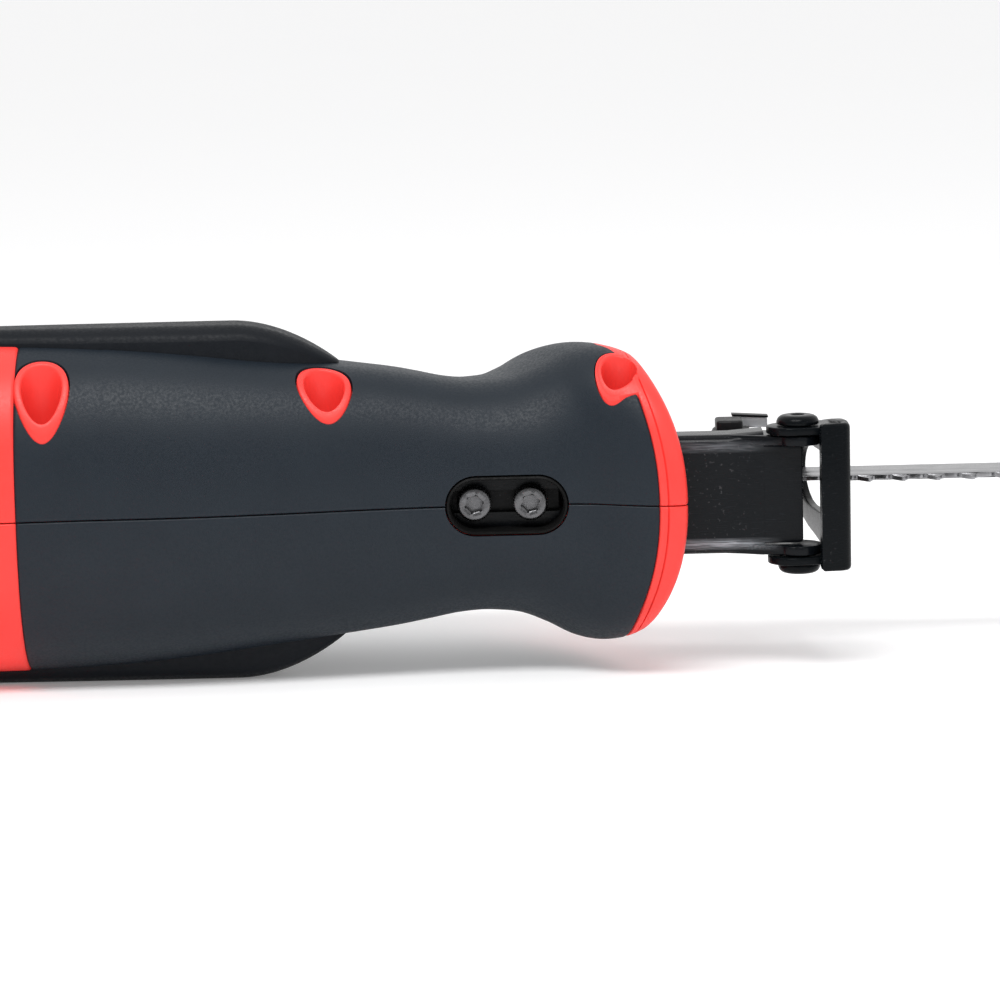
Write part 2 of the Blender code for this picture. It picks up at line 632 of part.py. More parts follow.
def gear_case():
    tray = make("gear_case", case_form(TRAY_OUTSIDE), "alloy")
    cover = make("gear_case_cover", case_form(COVER_OUTSIDE), "alloy")
    combine(tray, tool("case_room", case_form(TRAY_INSIDE)))
    combine(cover, tool("cover_room", case_form(COVER_INSIDE)))
    plunger_way = tool("plunger_way", rod(-90, -60, PLUNGER_R + 0.8, 0, 0, "X", 20))
    combine(tray, plunger_way)
    combine(cover, plunger_way)
    combine(tray, tool("shaft_way", rod(-155, -130, SHAFT_R + 2, MOTOR_Y, 0, "X", 16)))
    combine(tray, tool("axle_seat", rod(-40, -20, AXLE_R + GAP, 0, 0, "Y", 20, CRANK_X)))


def crank():
    pivot = (CRANK_X, 0, 0)
    outline = gear_outline(GEAR_TEETH, GEAR_R, GEAR_R - TOOTH_HEIGHT)
    rings = [[(CRANK_X + u, y, v) for u, v in outline] for y in GEAR_Y]
    gear = make("crank_gear", loft(rings), "steel", pivot)
    combine(gear, tool("gear_bore", rod(-20, 0, AXLE_R + GAP, 0, 0, "Y", 20, CRANK_X)))
    combine(gear, tool("pin_bore", rod(-20, 0, PIN_R + GAP, 0, 0, "Y", 12, YOKE_X)))
    make("gear_axle", rod(*AXLE_Y, AXLE_R, 0, 0, "Y", 20, CRANK_X), "steel")
    low, high = PIN_Y
    pin = [(low, 0), (low, PIN_R), (high, PIN_R), (high, 0)]
    make("crank_pin", turned(pin, 0, 0, "Y", 14, YOKE_X), "steel", (YOKE_X, 0, 0))
    roller = tube(*ROLLER_Y, ROLLER_R, PIN_R + GAP, 0, 0, "Y", 18, YOKE_X)
    make("crank_roller", roller, "steel", (YOKE_X, 0, 0))


def plunger():
    """Round bar with its yoke at the rear."""
    part = make("plunger", rod(-85, 5, PLUNGER_R, 0, 0, "X", 24), "steel")
    rear, front = YOKE_ENDS
    yoke = box(rear, front, -YOKE_HALF_Y, YOKE_HALF_Y, -YOKE_HALF_Z, YOKE_HALF_Z)
    combine(part, tool("yoke", yoke), "UNION")
    half_x, half_z = YOKE_SLOT
    combine(part, tool("yoke_slot", box(YOKE_X - half_x, YOKE_X + half_x, -8, 8, -half_z, half_z)))
    combine(part, tool("underside_flat", box(-90, FLAT_FRONT, -PLUNGER_R - 1, FLAT_Y, -PLUNGER_R, PLUNGER_R)))
    make("rear_bush", tube(*REAR_BUSH, BUSH_R, PLUNGER_R + GAP, 0), "brass")
    make("front_bush", tube(*FRONT_BUSH, BUSH_R, PLUNGER_R + GAP, 0), "brass")
    rear, step, front = BARREL_X
    bore = BUSH_R + GAP
    profile = [(rear, bore), (rear, FLANGE_R), (step, FLANGE_R), (step, BARREL_R), (front, BARREL_R),
               (front, bore)]
    make("plunger_barrel", turned(profile, 0, 0), "alloy")
    make("front_seal", tube(*FRONT_SEAL, PLUNGER_R + GAP, 0), "black")


# ---- blade and its clamp ----

def blade_outline():
    top, under = BLADE_HALF_H, -BLADE_HALF_H
    points = [(TANG_REAR, -6), (BLADE_ROOT - 3, -6), (BLADE_ROOT, under + TOOTH_DEPTH)]
    x = BLADE_ROOT + 5
    while x < BLADE_TIP - 12:
        points += [(x, under + TOOTH_DEPTH), (x + TOOTH_PITCH * 0.62, under)]
        x += TOOTH_PITCH
    return points + [(x, under + TOOTH_DEPTH), (BLADE_TIP, -3), (BLADE_TIP - 4, top - 2), (BLADE_TIP - 9, top),
                     (BLADE_ROOT + 3, top), (BLADE_ROOT - 3, 6), (TANG_REAR, 6)]


def blade_clamp():
    make("saw_blade", slab(blade_outline(), -BLADE_T / 2, BLADE_T / 2), "steel")
    holder = make("blade_holder", turned(HOLDER, 0, 0), "steel")
    combine(holder, tool("blade_slit", box(TANG_REAR - GAP, 30, -6.3, 6.3, -0.9, 0.9)))
    collar = make("clamp_collar", tube(*COLLAR, HOLDER_R + GAP, 0), "black")
    combine(collar, tool("lug", loft([[(x, y, z) for x, y in LUG] for z in LUG_Z])), "UNION")
    rear, front, out = SPRING
    profile = [(rear, HOLDER_R + GAP), (rear, out), (front, out), (front, HOLDER_R + GAP)]
    make("clamp_spring", turned(profile, 0, 0), "steel")
    make("release_arm", loft([[(x, y, z) for x, z in ARM] for y in ARM_Y]), "alloy")


# ---- shoe ----

def shoe_bar():
    """U-channel that carries the shoe, with a long slot for the clamp screws and round lobes at the pivot."""
    web = [(BAR_REAR, -BAR_HALF), (17, -BAR_HALF), (20, -BAR_HALF + 2.7), (BAR_FRONT, -BAR_HALF + 2.9)]
    web += [(x, -z) for x, z in reversed(web)]
    heights = (BAR_UNDER, BAR_UNDER + BAR_SHEET)
    part = make("shoe_bar", loft([[(x, y, z) for x, z in web] for y in heights]), "paint")
    x, y = SHOE_PIVOT
    low = BAR_UNDER + 1
    lobe = arc(x, y, 6.0, -140, 75, 10)
    flange = [(BAR_REAR + 1, low), (20, low)] + lobe + [(24, BAR_TOP), (BAR_REAR + 1, BAR_TOP)]
    for sign in (1, -1):
        span = sorted(((BAR_HALF - 0.02) * sign, (BAR_HALF - BAR_SHEET) * sign))
        combine(part, tool("flange", slab(flange, *span)), "UNION")
    combine(part, tool("bar_slot", stadium(-68.5, -31, 2.9, -40, -25)))
    combine(part, tool("rivet_hole", rod(-30, 30, 2.6 + GAP, y, 0, "Z", 16, x)))


def leaned(bm):
    """Turned about the shoe's pivot, so that the shoe stands back at rest."""
    pivot = Vector((*SHOE_PIVOT, 0))
    turn = Matrix.Rotation(math.radians(SHOE_LEAN), 4, "Z")
    bm.transform(Matrix.Translation(pivot) @ turn @ Matrix.Translation(-pivot))
    return bm


def upright(outline, x0, x1):
    """Outline of (z, y) points, extruded along X."""
    return leaned(loft([[(x, y, z) for z, y in outline] for x in (x0, x1)]))


def mirrored(half):
    return half + [(-z, y) for z, y in reversed(half)]


def shoe_plate():
    """Arched front plate with a slot for the blade, a turned-back foot and two ears on the pivot."""
    arch = mirrored([(SHOE_HALF, SHOE_UNDER), (SHOE_HALF - 0.5, -29), (15.2, -10), (13.4, 4), (10, 13.5),
                     (5, SHOE_TOP)])
    part = make("shoe_plate", upright(arch, SHOE_FRONT - SHOE_SHEET, SHOE_FRONT), "paint", (*SHOE_PIVOT, 0))
    foot = box(SHOE_REAR, SHOE_FRONT - 0.05, SHOE_UNDER + 0.03, SHOE_UNDER + 2.6, -SHOE_HALF + 0.4,
               SHOE_HALF - 0.4)
    combine(part, tool("foot", leaned(foot)), "UNION")
    x, y = SHOE_PIVOT
    for sign in (1, -1):
        ear = arc(x, y, 6.2, 90, 270, 8) + [(SHOE_FRONT - 1, y - 6.2), (SHOE_FRONT - 1, y + 6.2)]
        span = sorted(((BAR_HALF + GAP) * sign, (BAR_HALF + GAP + EAR_SHEET) * sign))
        combine(part, tool("ear", leaned(slab(ear, *span))), "UNION")
    slot = mirrored([(5, -19), (8.2, -15), (8.2, 3), (5.5, 10.5), (2, 14)])
    combine(part, tool("blade_slot", upright(slot, SHOE_FRONT - 8, SHOE_FRONT + 8)))
    combine(part, tool("pivot_hole", leaned(rod(-30, 30, 2.6 + GAP, y, 0, "Z", 16, x))))


def shoe_fittings():
    x, y = SHOE_PIVOT
    for side, sign in SIDES.items():
        shoulder = BAR_HALF + EAR_SHEET + 2 * GAP
        profile = [(sign * z, r) for z, r in ((BAR_HALF - BAR_SHEET + GAP, 0), (BAR_HALF - BAR_SHEET + GAP, 2.6),
                                              (shoulder, 2.6), (shoulder, 5.4), (RIVET_OUT - 0.9, 5.2),
                                              (RIVET_OUT, 3.6), (RIVET_OUT, 0))]
        make(side + "_shoe_rivet", turned(profile, y, 0, "Z", 20, x), "paint", (x, y, 0))
    under = BAR_UNDER + BAR_SHEET + GAP
    plate = make("shoe_clamp_plate", box(-62, -33, under, under + 3, -11, 11), "steel")
    block = make("shoe_support", box(-65, -36, under + 3 + GAP, -13.5 - GAP, -11.5, 11.5), "alloy")
    for name, screw_x in zip(("rear_clamp_screw", "front_clamp_screw"), CLAMP_SCREW_X):
        face = BAR_UNDER - GAP
        profile = [(face - 5, 2.6), (face - 5, 4.25), (face, 4.25), (face, 2.4), (-16, 2.4), (-16, 0),
                   (face - 2.2, 0), (face - 2.2, 2.4)]
        make(name, turned(profile, 0, 0, "Y", 16, screw_x), "black")
        for drilled in (plate, block):
            combine(drilled, tool("drill", rod(-35, -15.6, 2.4 + GAP, 0, 0, "Y", 14, screw_x)))


# ---- controls ----

def controls():
    make("trigger", slab(TRIGGER, -TRIGGER_HALF, TRIGGER_HALF), "black", TRIGGER_PIVOT)
    make("switch_body", box(*SWITCH_BODY), "black")
    x, y = LOCK_AT
    make("lock_button", turned(LOCK_BUTTON, y, 0, "Z", 16, x), "red", (x, y, 0))
    x, y = DIAL_AT
    make("speed_dial", rod(-DIAL_HALF, DIAL_HALF, DIAL_R, y, 0, "Z", 20, x), "red", (x, y, 0))
    make("cord_gland", gland_turned(GLAND), "black")
    make("cord_clamp", box(*CORD_CLAMP), "black")


def build():
    clear_scene()
    housing_forms()
    for side in SIDES:
        housing(side)
        front_grip(side)
        rear_grip(side)
        side_pad(side)
    for index, (x, y) in enumerate(HOUSING_SCREWS, 1):
        housing_screw(index, x, y)
    motor()
    brushes()
    gear_case()
    crank()
    plunger()
    blade_clamp()
    shoe_bar()
    shoe_plate()
    shoe_fittings()
    controls()


build()
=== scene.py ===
import json
import math

import bmesh
import bpy
import numpy as np
from mathutils import Matrix, Vector


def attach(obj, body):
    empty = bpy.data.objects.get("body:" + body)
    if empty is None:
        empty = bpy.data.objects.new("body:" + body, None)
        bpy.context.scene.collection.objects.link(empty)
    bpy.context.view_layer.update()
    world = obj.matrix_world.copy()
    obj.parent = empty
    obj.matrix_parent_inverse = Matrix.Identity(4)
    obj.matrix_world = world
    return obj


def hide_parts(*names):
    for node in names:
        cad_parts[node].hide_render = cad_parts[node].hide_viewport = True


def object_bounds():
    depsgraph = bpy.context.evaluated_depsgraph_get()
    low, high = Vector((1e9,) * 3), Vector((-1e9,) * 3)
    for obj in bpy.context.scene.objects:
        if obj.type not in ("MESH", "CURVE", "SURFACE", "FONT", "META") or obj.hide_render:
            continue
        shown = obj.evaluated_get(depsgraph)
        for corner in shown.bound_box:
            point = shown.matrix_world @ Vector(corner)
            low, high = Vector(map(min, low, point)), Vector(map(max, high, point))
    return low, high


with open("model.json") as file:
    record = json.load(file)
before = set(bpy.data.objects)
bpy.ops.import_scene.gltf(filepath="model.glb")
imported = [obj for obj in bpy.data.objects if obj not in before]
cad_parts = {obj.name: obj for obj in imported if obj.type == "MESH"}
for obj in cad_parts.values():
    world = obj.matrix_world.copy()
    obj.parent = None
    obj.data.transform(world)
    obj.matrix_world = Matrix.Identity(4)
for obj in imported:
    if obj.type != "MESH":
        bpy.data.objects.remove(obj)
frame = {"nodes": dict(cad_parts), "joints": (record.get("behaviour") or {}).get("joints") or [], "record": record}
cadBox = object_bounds()
nodes = frame["nodes"]
joints = {joint["name"]: joint for joint in frame["joints"]}
sides = {"right": 1, "left": -1}

# The saw's own measures are in millimetres:
# x from the nose lip, y from the spindle axis, z from the parting plane.
mm = 0.001
lipToCollar = 13.2
sawOrigin = np.array(joints["blade_release"]["pos_m"]) - np.array([lipToCollar * mm, 0, 0])
shoePivot = (np.array(joints["shoe_pivot"]["pos_m"]) - sawOrigin) / mm
print("frame loaded")


def place(points):
    return sawOrigin + np.asarray(points, float) * mm


def gridFaces(rows, cols, wrapCols=True):
    # quads between neighbouring rows and columns
    r = np.arange(rows - 1)[:, None]
    c = np.arange(cols if wrapCols else cols - 1)[None, :]
    near, far = r * cols, (r + 1) * cols
    return np.stack([near + c, near + (c + 1) % cols, far + (c + 1) % cols, far + c], -1).reshape(-1, 4)


def meshFrom(name, points, faces):
    # merges poles, turns every face outwards and shades round parts smooth
    mesh = bpy.data.meshes.new(name)
    mesh.from_pydata(place(points).tolist(), [], faces)
    bm = bmesh.new()
    bm.from_mesh(mesh)
    bmesh.ops.remove_doubles(bm, verts=bm.verts, dist=1e-6)
    bmesh.ops.dissolve_degenerate(bm, edges=bm.edges, dist=1e-7)
    bmesh.ops.recalc_face_normals(bm, faces=bm.faces)
    bm.to_mesh(mesh)
    bm.free()
    return mesh


def linked(name, data):
    made = bpy.data.objects.new(name, data)
    bpy.context.scene.collection.objects.link(made)
    return made


def piece(name, mesh, material, body="frame", stands=(), sharp=35):
    mesh.materials.clear()
    mesh.materials.append(material)
    mesh.shade_smooth()
    mesh.set_sharp_from_angle(angle=math.radians(sharp))
    made = linked(name, mesh)
    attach(made, body)
    if stands:
        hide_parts(*stands)
    return made


def shell(outer, inner):
    # closed wall between two grids of the same size: each row's loop runs out along one, back along the other
    rows, cols = outer.shape[:2]
    loop = np.concatenate([outer, inner[:, ::-1]], 1)
    faces = gridFaces(rows, 2 * cols).tolist()
    i = np.arange(cols - 1)
    cap = np.stack([i, i + 1, 2 * cols - 2 - i, 2 * cols - 1 - i], -1)
    faces += cap.tolist() + (cap[:, ::-1] + (rows - 1) * 2 * cols).tolist()
    return loop.reshape(-1, 3), faces


def tubeOf(rings):
    # closed solid through rings, capped flat at both ends
    rows, cols = rings.shape[:2]
    faces = gridFaces(rows, cols).tolist()
    ends = np.arange(cols)
    return rings.reshape(-1, 3), faces + [ends.tolist(), (ends[::-1] + (rows - 1) * cols).tolist()]


def turned(profile, centre, axis, segments=96, wobble=None):
    # profile of (distance, radius) turned about an axis: point = centre + axis*d + r*(cos, sin) across it
    profile = np.array(profile, float)
    angle = np.linspace(0, 2 * math.pi, segments, endpoint=False)
    radius = profile[:, 1:2] * np.ones(segments)
    if wobble:
        radius = wobble(profile[:, 0:1], angle[None, :], radius)
    along = Vector(axis).normalized()
    first = along.orthogonal().normalized()
    first, second, along = np.array(first), np.array(along.cross(first)), np.array(along)
    rings = (np.array(centre, float) + profile[:, 0, None, None] * along
             + (radius * np.cos(angle))[..., None] * first + (radius * np.sin(angle))[..., None] * second)
    return tubeOf(rings)


def rounded(profile, radius, steps=4):
    # the same open profile with each inner corner replaced by a small quadratic curve
    p = np.array(profile, float)
    out = [p[0]]
    for before, corner, after in zip(p[:-2], p[1:-1], p[2:]):
        cutIn = min(radius, 0.45 * np.linalg.norm(corner - before))
        cutOut = min(radius, 0.45 * np.linalg.norm(after - corner))
        a = corner + (before - corner) * cutIn / np.linalg.norm(before - corner)
        b = corner + (after - corner) * cutOut / np.linalg.norm(after - corner)
        t = np.linspace(0, 1, steps)[:, None]
        out += list((1 - t) ** 2 * a + 2 * t * (1 - t) * corner + t**2 * b)
    return np.array(out + [p[-1]])


def roundedLoop(outline, radius, steps=5):
    # closed outline with rounded corners
    p = np.array(outline, float)
    wrapped = np.vstack([(p[0] + p[-1]) / 2, p, (p[0] + p[-1]) / 2])
    return rounded(wrapped, radius, steps)[:-1]


def sheetMesh(name, outline, holes, thickness, edge, lay):
    # flat sheet with holes and rounded edges, from a filled curve;
    # lay(u, v, w) gives its points in the saw's measures
    curve = bpy.data.curves.new(name, "CURVE")
    curve.dimensions = "2D"
    curve.fill_mode = "BOTH"
    curve.extrude = thickness / 2 - edge
    curve.bevel_depth = edge
    curve.bevel_resolution = 2
    curve.offset = -edge
    for loop in [outline, *holes]:
        spline = curve.splines.new("POLY")
        spline.points.add(len(loop) - 1)
        spline.points.foreach_set("co", np.c_[loop, np.zeros(len(loop)), np.ones(len(loop))].ravel())
        spline.use_cyclic_u = True
    flat = linked(name, curve)
    bpy.context.view_layer.update()
    mesh = bpy.data.meshes.new_from_object(flat.evaluated_get(bpy.context.evaluated_depsgraph_get()))
    bpy.data.objects.remove(flat)
    spots = np.empty(len(mesh.vertices) * 3)
    mesh.vertices.foreach_get("co", spots)
    spots = spots.reshape(-1, 3)
    mesh.vertices.foreach_set("co", place(lay(*spots.T)).ravel())
    bm = bmesh.new()
    bm.from_mesh(mesh)
    bmesh.ops.remove_doubles(bm, verts=bm.verts, dist=1e-6)
    bmesh.ops.recalc_face_normals(bm, faces=bm.faces)
    bm.to_mesh(mesh)
    bm.free()
    return mesh


def joined(name, meshes):
    # several closed bodies in one mesh
    whole = bmesh.new()
    for mesh in meshes:
        whole.from_mesh(mesh)
        bpy.data.meshes.remove(mesh)
    out = bpy.data.meshes.new(name)
    whole.to_mesh(out)
    whole.free()
    return out


def carved(mesh, others, operation="DIFFERENCE"):
    # the mesh with each other shape taken out of it, joined to it or kept in common
    block = linked("block", mesh)
    tools = []
    for other in others:
        tool = linked("tool", other)
        modifier = block.modifiers.new("cut", "BOOLEAN")
        modifier.operation, modifier.solver, modifier.object = operation, "MANIFOLD", tool
        tools.append(tool)
    bpy.context.view_layer.update()
    out = bpy.data.meshes.new_from_object(block.evaluated_get(bpy.context.evaluated_depsgraph_get()))
    if len(out.polygons) in (0, len(mesh.polygons)):
        print("Boolean did nothing to", mesh.name)
    for spent in [block, *tools]:
        bpy.data.objects.remove(spent)
    return out


def circle(x, y, radius, count=48, start=0.0, end=2 * math.pi):
    spots = np.linspace(start, end, count, endpoint=abs(end - start) < 6.28)
    return np.stack([x + radius * np.cos(spots), y + radius * np.sin(spots)], -1)


def prism(outline, low, high, axis="Z"):
    # outline of (x, y) or (x, z) points carried along Z or Y
    outline = np.array(outline, float)
    order = {"Z": lambda h: np.c_[outline, np.full(len(outline), h)],
             "Y": lambda h: np.c_[outline[:, 0], np.full(len(outline), h), outline[:, 1]]}[axis]
    return meshFrom("prism", *tubeOf(np.stack([order(low), order(high)])))


def smoothStep(value, low, high):
    t = np.clip((np.asarray(value, float) - low) / (high - low), 0, 1)
    return t * t * (3 - 2 * t)


def throughPoints(table, spots):
    # smooth curve through the rows of a table, whose first column is the parameter
    table = np.array(sorted(table), float)
    keys, values = table[:, 0], table[:, 1:]
    slopes = np.gradient(values, keys, axis=0)
    spots = np.clip(np.asarray(spots, float), keys[0], keys[-1])
    index = np.clip(np.searchsorted(keys, spots) - 1, 0, len(keys) - 2)
    step = (keys[index + 1] - keys[index])[..., None]
    t = (spots - keys[index])[..., None] / step
    return ((2 * t**3 - 3 * t**2 + 1) * values[index] + (t**3 - 2 * t**2 + t) * step * slopes[index]
            + (3 * t**2 - 2 * t**3) * values[index + 1] + (t**3 - t**2) * step * slopes[index + 1])


def nodeKit(name):
    material = bpy.data.materials.new(name)
    material.use_nodes = True
    tree = material.node_tree
    shader = tree.nodes["Principled BSDF"]
    spots = tree.nodes.new("ShaderNodeTexCoord").outputs["Object"]
    return material, tree, shader, spots


def noise(tree, spots, size, detail=2.0, stretch=(1, 1, 1)):
    # noise whose cells are size millimetres wide, drawn out by stretch
    mapping = tree.nodes.new("ShaderNodeMapping")
    mapping.inputs["Scale"].default_value = [1 / (size * mm * s) for s in stretch]
    tree.links.new(spots, mapping.inputs["Vector"])
    texture = tree.nodes.new("ShaderNodeTexNoise")
    texture.inputs["Scale"].default_value = 1.0
    texture.inputs["Detail"].default_value = detail
    tree.links.new(mapping.outputs["Vector"], texture.inputs["Vector"])
    return texture.outputs["Fac"]


def ranged(tree, value, low, high, toLow, toHigh):
    node = tree.nodes.new("ShaderNodeMapRange")
    for key, number in zip(("From Min", "From Max", "To Min", "To Max"), (low, high, toLow, toHigh)):
        node.inputs[key].default_value = number
    tree.links.new(value, node.inputs["Value"])
    return node.outputs["Result"]


def mixed(tree, factor, first, second):
    node = tree.nodes.new("ShaderNodeMix")
    node.data_type = "RGBA"
    tree.links.new(factor, node.inputs["Factor"])
    for key, colour in (("A", first), ("B", second)):
        socket = next(s for s in node.inputs if s.name == key and s.type == "RGBA")
        if isinstance(colour, tuple):
            socket.default_value = (*colour, 1)
        else:
            tree.links.new(colour, socket)
    return next(s for s in node.outputs if s.type == "RGBA")


def multiplied(tree, a, b):
    node = tree.nodes.new("ShaderNodeMath")
    node.operation = "MULTIPLY"
    tree.links.new(a, node.inputs[0])
    tree.links.new(b, node.inputs[1])
    return node.outputs[0]


def bumped(tree, shader, heights):
    # each (value, depth in millimetres) is laid over the one before
    normal = None
    for value, depth in heights:
        bump = tree.nodes.new("ShaderNodeBump")
        bump.inputs["Distance"].default_value = depth * mm
        tree.links.new(value, bump.inputs["Height"])
        if normal:
            tree.links.new(normal, bump.inputs["Normal"])
        normal = bump.outputs["Normal"]
    tree.links.new(normal, shader.inputs["Normal"])


def moulded(name, dark, light, roughness, grain=0.35, depth=0.05, scuffed=(0.2, 0.2, 0.2), wear=0.25,
            shine=0.4):
    # moulded plastic or rubber: fine spark-eroded grain, soft mottling, pale scuffs on the edges
    material, tree, shader, spots = nodeKit(name)
    fine = noise(tree, spots, grain, 3.0)
    cloud = noise(tree, spots, 14.0, 4.0)
    speck = noise(tree, spots, grain * 1.7, 2.0)
    colour = mixed(tree, ranged(tree, cloud, 0.3, 0.7, 0, 1), dark, light)
    pointed = tree.nodes.new("ShaderNodeNewGeometry").outputs["Pointiness"]
    edge = multiplied(tree, ranged(tree, pointed, 0.53, 0.62, 0, wear),
                      ranged(tree, noise(tree, spots, 2.0, 5.0), 0.42, 0.7, 0, 1))
    tree.links.new(mixed(tree, edge, colour, scuffed), shader.inputs["Base Color"])
    tree.links.new(ranged(tree, speck, 0.35, 0.65, roughness - 0.08, roughness + 0.08),
                   shader.inputs["Roughness"])
    shader.inputs["Specular IOR Level"].default_value = shine
    bumped(tree, shader, [(cloud, 0.04), (fine, depth)])
    return material


def painted(name, colour, roughness, worn=(0.25, 0.25, 0.26), wear=0.4, paintedHighlight=None, shine=0.13):
    # stove paint on steel: orange peel, faint scratches, a little bare metal on the edges; when a band is given,
    # also a pale painted highlight along the bends
    material, tree, shader, spots = nodeKit(name)
    peel = noise(tree, spots, 1.6, 2.0)
    scratch = noise(tree, spots, 0.3, 5.0, (14, 1, 1))
    chips = noise(tree, spots, 0.9, 6.0)
    pointed = tree.nodes.new("ShaderNodeNewGeometry").outputs["Pointiness"]
    bare = multiplied(tree, ranged(tree, pointed, 0.56, 0.7, 0, wear), ranged(tree, chips, 0.64, 0.72, 0, 1))
    greyed = mixed(tree, ranged(tree, scratch, 0.64, 0.78, 0, 0.35), colour, (0.03, 0.035, 0.045))
    if paintedHighlight:
        # painted highlight: pale bands along both bends at a height from the parting plane, standing in for the
        # light that the bends catch
        greyed = mixed(tree, paintedHighlightBand(tree, spots, scratch, *paintedHighlight), greyed, (0.5, 0.53, 0.57))
    tree.links.new(mixed(tree, bare, greyed, worn), shader.inputs["Base Color"])
    tree.links.new(ranged(tree, scratch, 0.3, 0.7, roughness - 0.04, roughness + 0.08),
                   shader.inputs["Roughness"])
    shader.inputs["Specular IOR Level"].default_value = shine
    bumped(tree, shader, [(peel, 0.05), (scratch, 0.004)])
    return material


def paintedHighlightBand(tree, spots, streaks, height, width, front, fade):
    # painted highlight mask: bell curve in |z - parting plane| about a height, dying out towards the front,
    # strongest on the lower side where the highlight falls
    parts = tree.nodes.new("ShaderNodeSeparateXYZ")
    tree.links.new(spots, parts.inputs[0])

    def maths(operation, first, second):
        node = tree.nodes.new("ShaderNodeMath")
        node.operation = operation
        for socket, value in zip(node.inputs, (first, second)):
            if isinstance(value, (int, float)):
                socket.default_value = value
            else:
                tree.links.new(value, socket)
        return node.outputs[0]
    away = maths("ABSOLUTE", maths("SUBTRACT", parts.outputs["Z"], sawOrigin[2]), 0.0)
    off = maths("ABSOLUTE", maths("SUBTRACT", away, height * mm), 0.0)
    bell = ranged(tree, off, 0.0, width * mm, 1.0, 0.0)
    start, end = (sawOrigin[0] + x * mm for x in (front - fade, front))
    along = ranged(tree, parts.outputs["X"], start, end, 1.0, 0.0)
    under = ranged(tree, parts.outputs["Y"], sawOrigin[1] - 32.0 * mm, sawOrigin[1] - 30.0 * mm, 1.0, 0.0)
    lying = ranged(tree, parts.outputs["Z"], sawOrigin[2] - 2.0 * mm, sawOrigin[2] + 2.0 * mm, 1.0, 0.35)
    level = maths("MULTIPLY", maths("MULTIPLY", maths("MULTIPLY", bell, along), under), lying)
    return maths("MULTIPLY", level, ranged(tree, streaks, 0.35, 0.65, 0.25, 0.75))


def metal(name, colour, roughness, grain=0.2, stretch=(1, 1, 1), stain=(0.2, 0.19, 0.18), depth=0.01):
    # machined or cast metal: lay of the cut, dull patches
    material, tree, shader, spots = nodeKit(name)
    lay = noise(tree, spots, grain, 4.0, stretch)
    patch = noise(tree, spots, 6.0, 5.0)
    shader.inputs["Metallic"].default_value = 1.0
    tree.links.new(mixed(tree, ranged(tree, patch, 0.45, 0.8, 0, 0.5), colour, stain),
                   shader.inputs["Base Color"])
    tree.links.new(ranged(tree, lay, 0.3, 0.7, roughness - 0.08, roughness + 0.1), shader.inputs["Roughness"])
    bumped(tree, shader, [(lay, depth)])
    return material


finishes = {
    "soft": moulded("soft_grip", (0.0075, 0.0125, 0.019), (0.009, 0.0145, 0.0215), 0.5, 0.4, 0.035,
                    (0.03, 0.034, 0.04), 0.2, 0.26),
    "pad": moulded("pad_rubber", (0.005, 0.0065, 0.009), (0.0065, 0.008, 0.011), 0.5, 0.5, 0.06,
                   (0.025, 0.027, 0.03), 0.2, 0.13),
    "red": moulded("red_shell", (0.86, 0.042, 0.034), (0.9, 0.05, 0.041), 0.42, 0.3, 0.02,
                   (0.92, 0.16, 0.14), 0.2, 0.35),
    "paint": painted("black_paint", (0.003, 0.004, 0.005), 0.24, shine=0.08),
    # the bar's paint carries a painted highlight band along its bends
    "bar": painted("bar_paint", (0.0035, 0.0045, 0.006), 0.22, wear=0.2, paintedHighlight=(12.6, 1.7, 24.0, 12.0)),
    "oxide": painted("black_oxide", (0.006, 0.006, 0.007), 0.34, (0.35, 0.35, 0.36), 0.5),
    "black_plastic": moulded("black_plastic", (0.006, 0.006, 0.007), (0.009, 0.009, 0.01), 0.45, 0.3, 0.03,
                             (0.04, 0.04, 0.04), 0.2, 0.25),
    "seal": moulded("seal_rubber", (0.003, 0.003, 0.003), (0.005, 0.005, 0.005), 0.6, 0.6, 0.05,
                    (0.02, 0.02, 0.02), 0.1, 0.12),
    "steel": metal("ground_steel", (0.56, 0.56, 0.57), 0.28, 0.12, (30, 1, 1)),
    "alloy": metal("cast_alloy", (0.66, 0.67, 0.69), 0.5, 0.5, (1, 1, 1), (0.5, 0.5, 0.51), 0.05),
    "copper": metal("copper_winding", (0.7, 0.32, 0.16), 0.35, 0.35, (40, 1, 1), (0.3, 0.12, 0.06), 0.08),
    "brass": metal("brass", (0.72, 0.54, 0.24), 0.3, 0.15, (1, 20, 1), (0.45, 0.3, 0.12)),
    "carbon": moulded("carbon", (0.02, 0.02, 0.02), (0.03, 0.03, 0.03), 0.6, 0.2, 0.03, (0.06, 0.06, 0.06)),
    "burnished": metal("burnished_steel", (0.13, 0.13, 0.135), 0.3, 0.3, (1, 1, 1), (0.05, 0.05, 0.05), 0.03),
    "blade": metal("blade_steel", (0.3, 0.3, 0.31), 0.3, 0.14, (40, 1, 1), (0.12, 0.12, 0.13), 0.02),
}
for row in frame["record"]["subparts"]:
    keep = {"blackened_steel": "oxide"}.get(row["material_slot"], row["material_slot"])
    nodes[row["node"]].data.materials.clear()
    nodes[row["node"]].data.materials.append(finishes[keep])
nodes["shoe_clamp_plate"].data.materials[0] = finishes["oxide"]
print("finishes made")


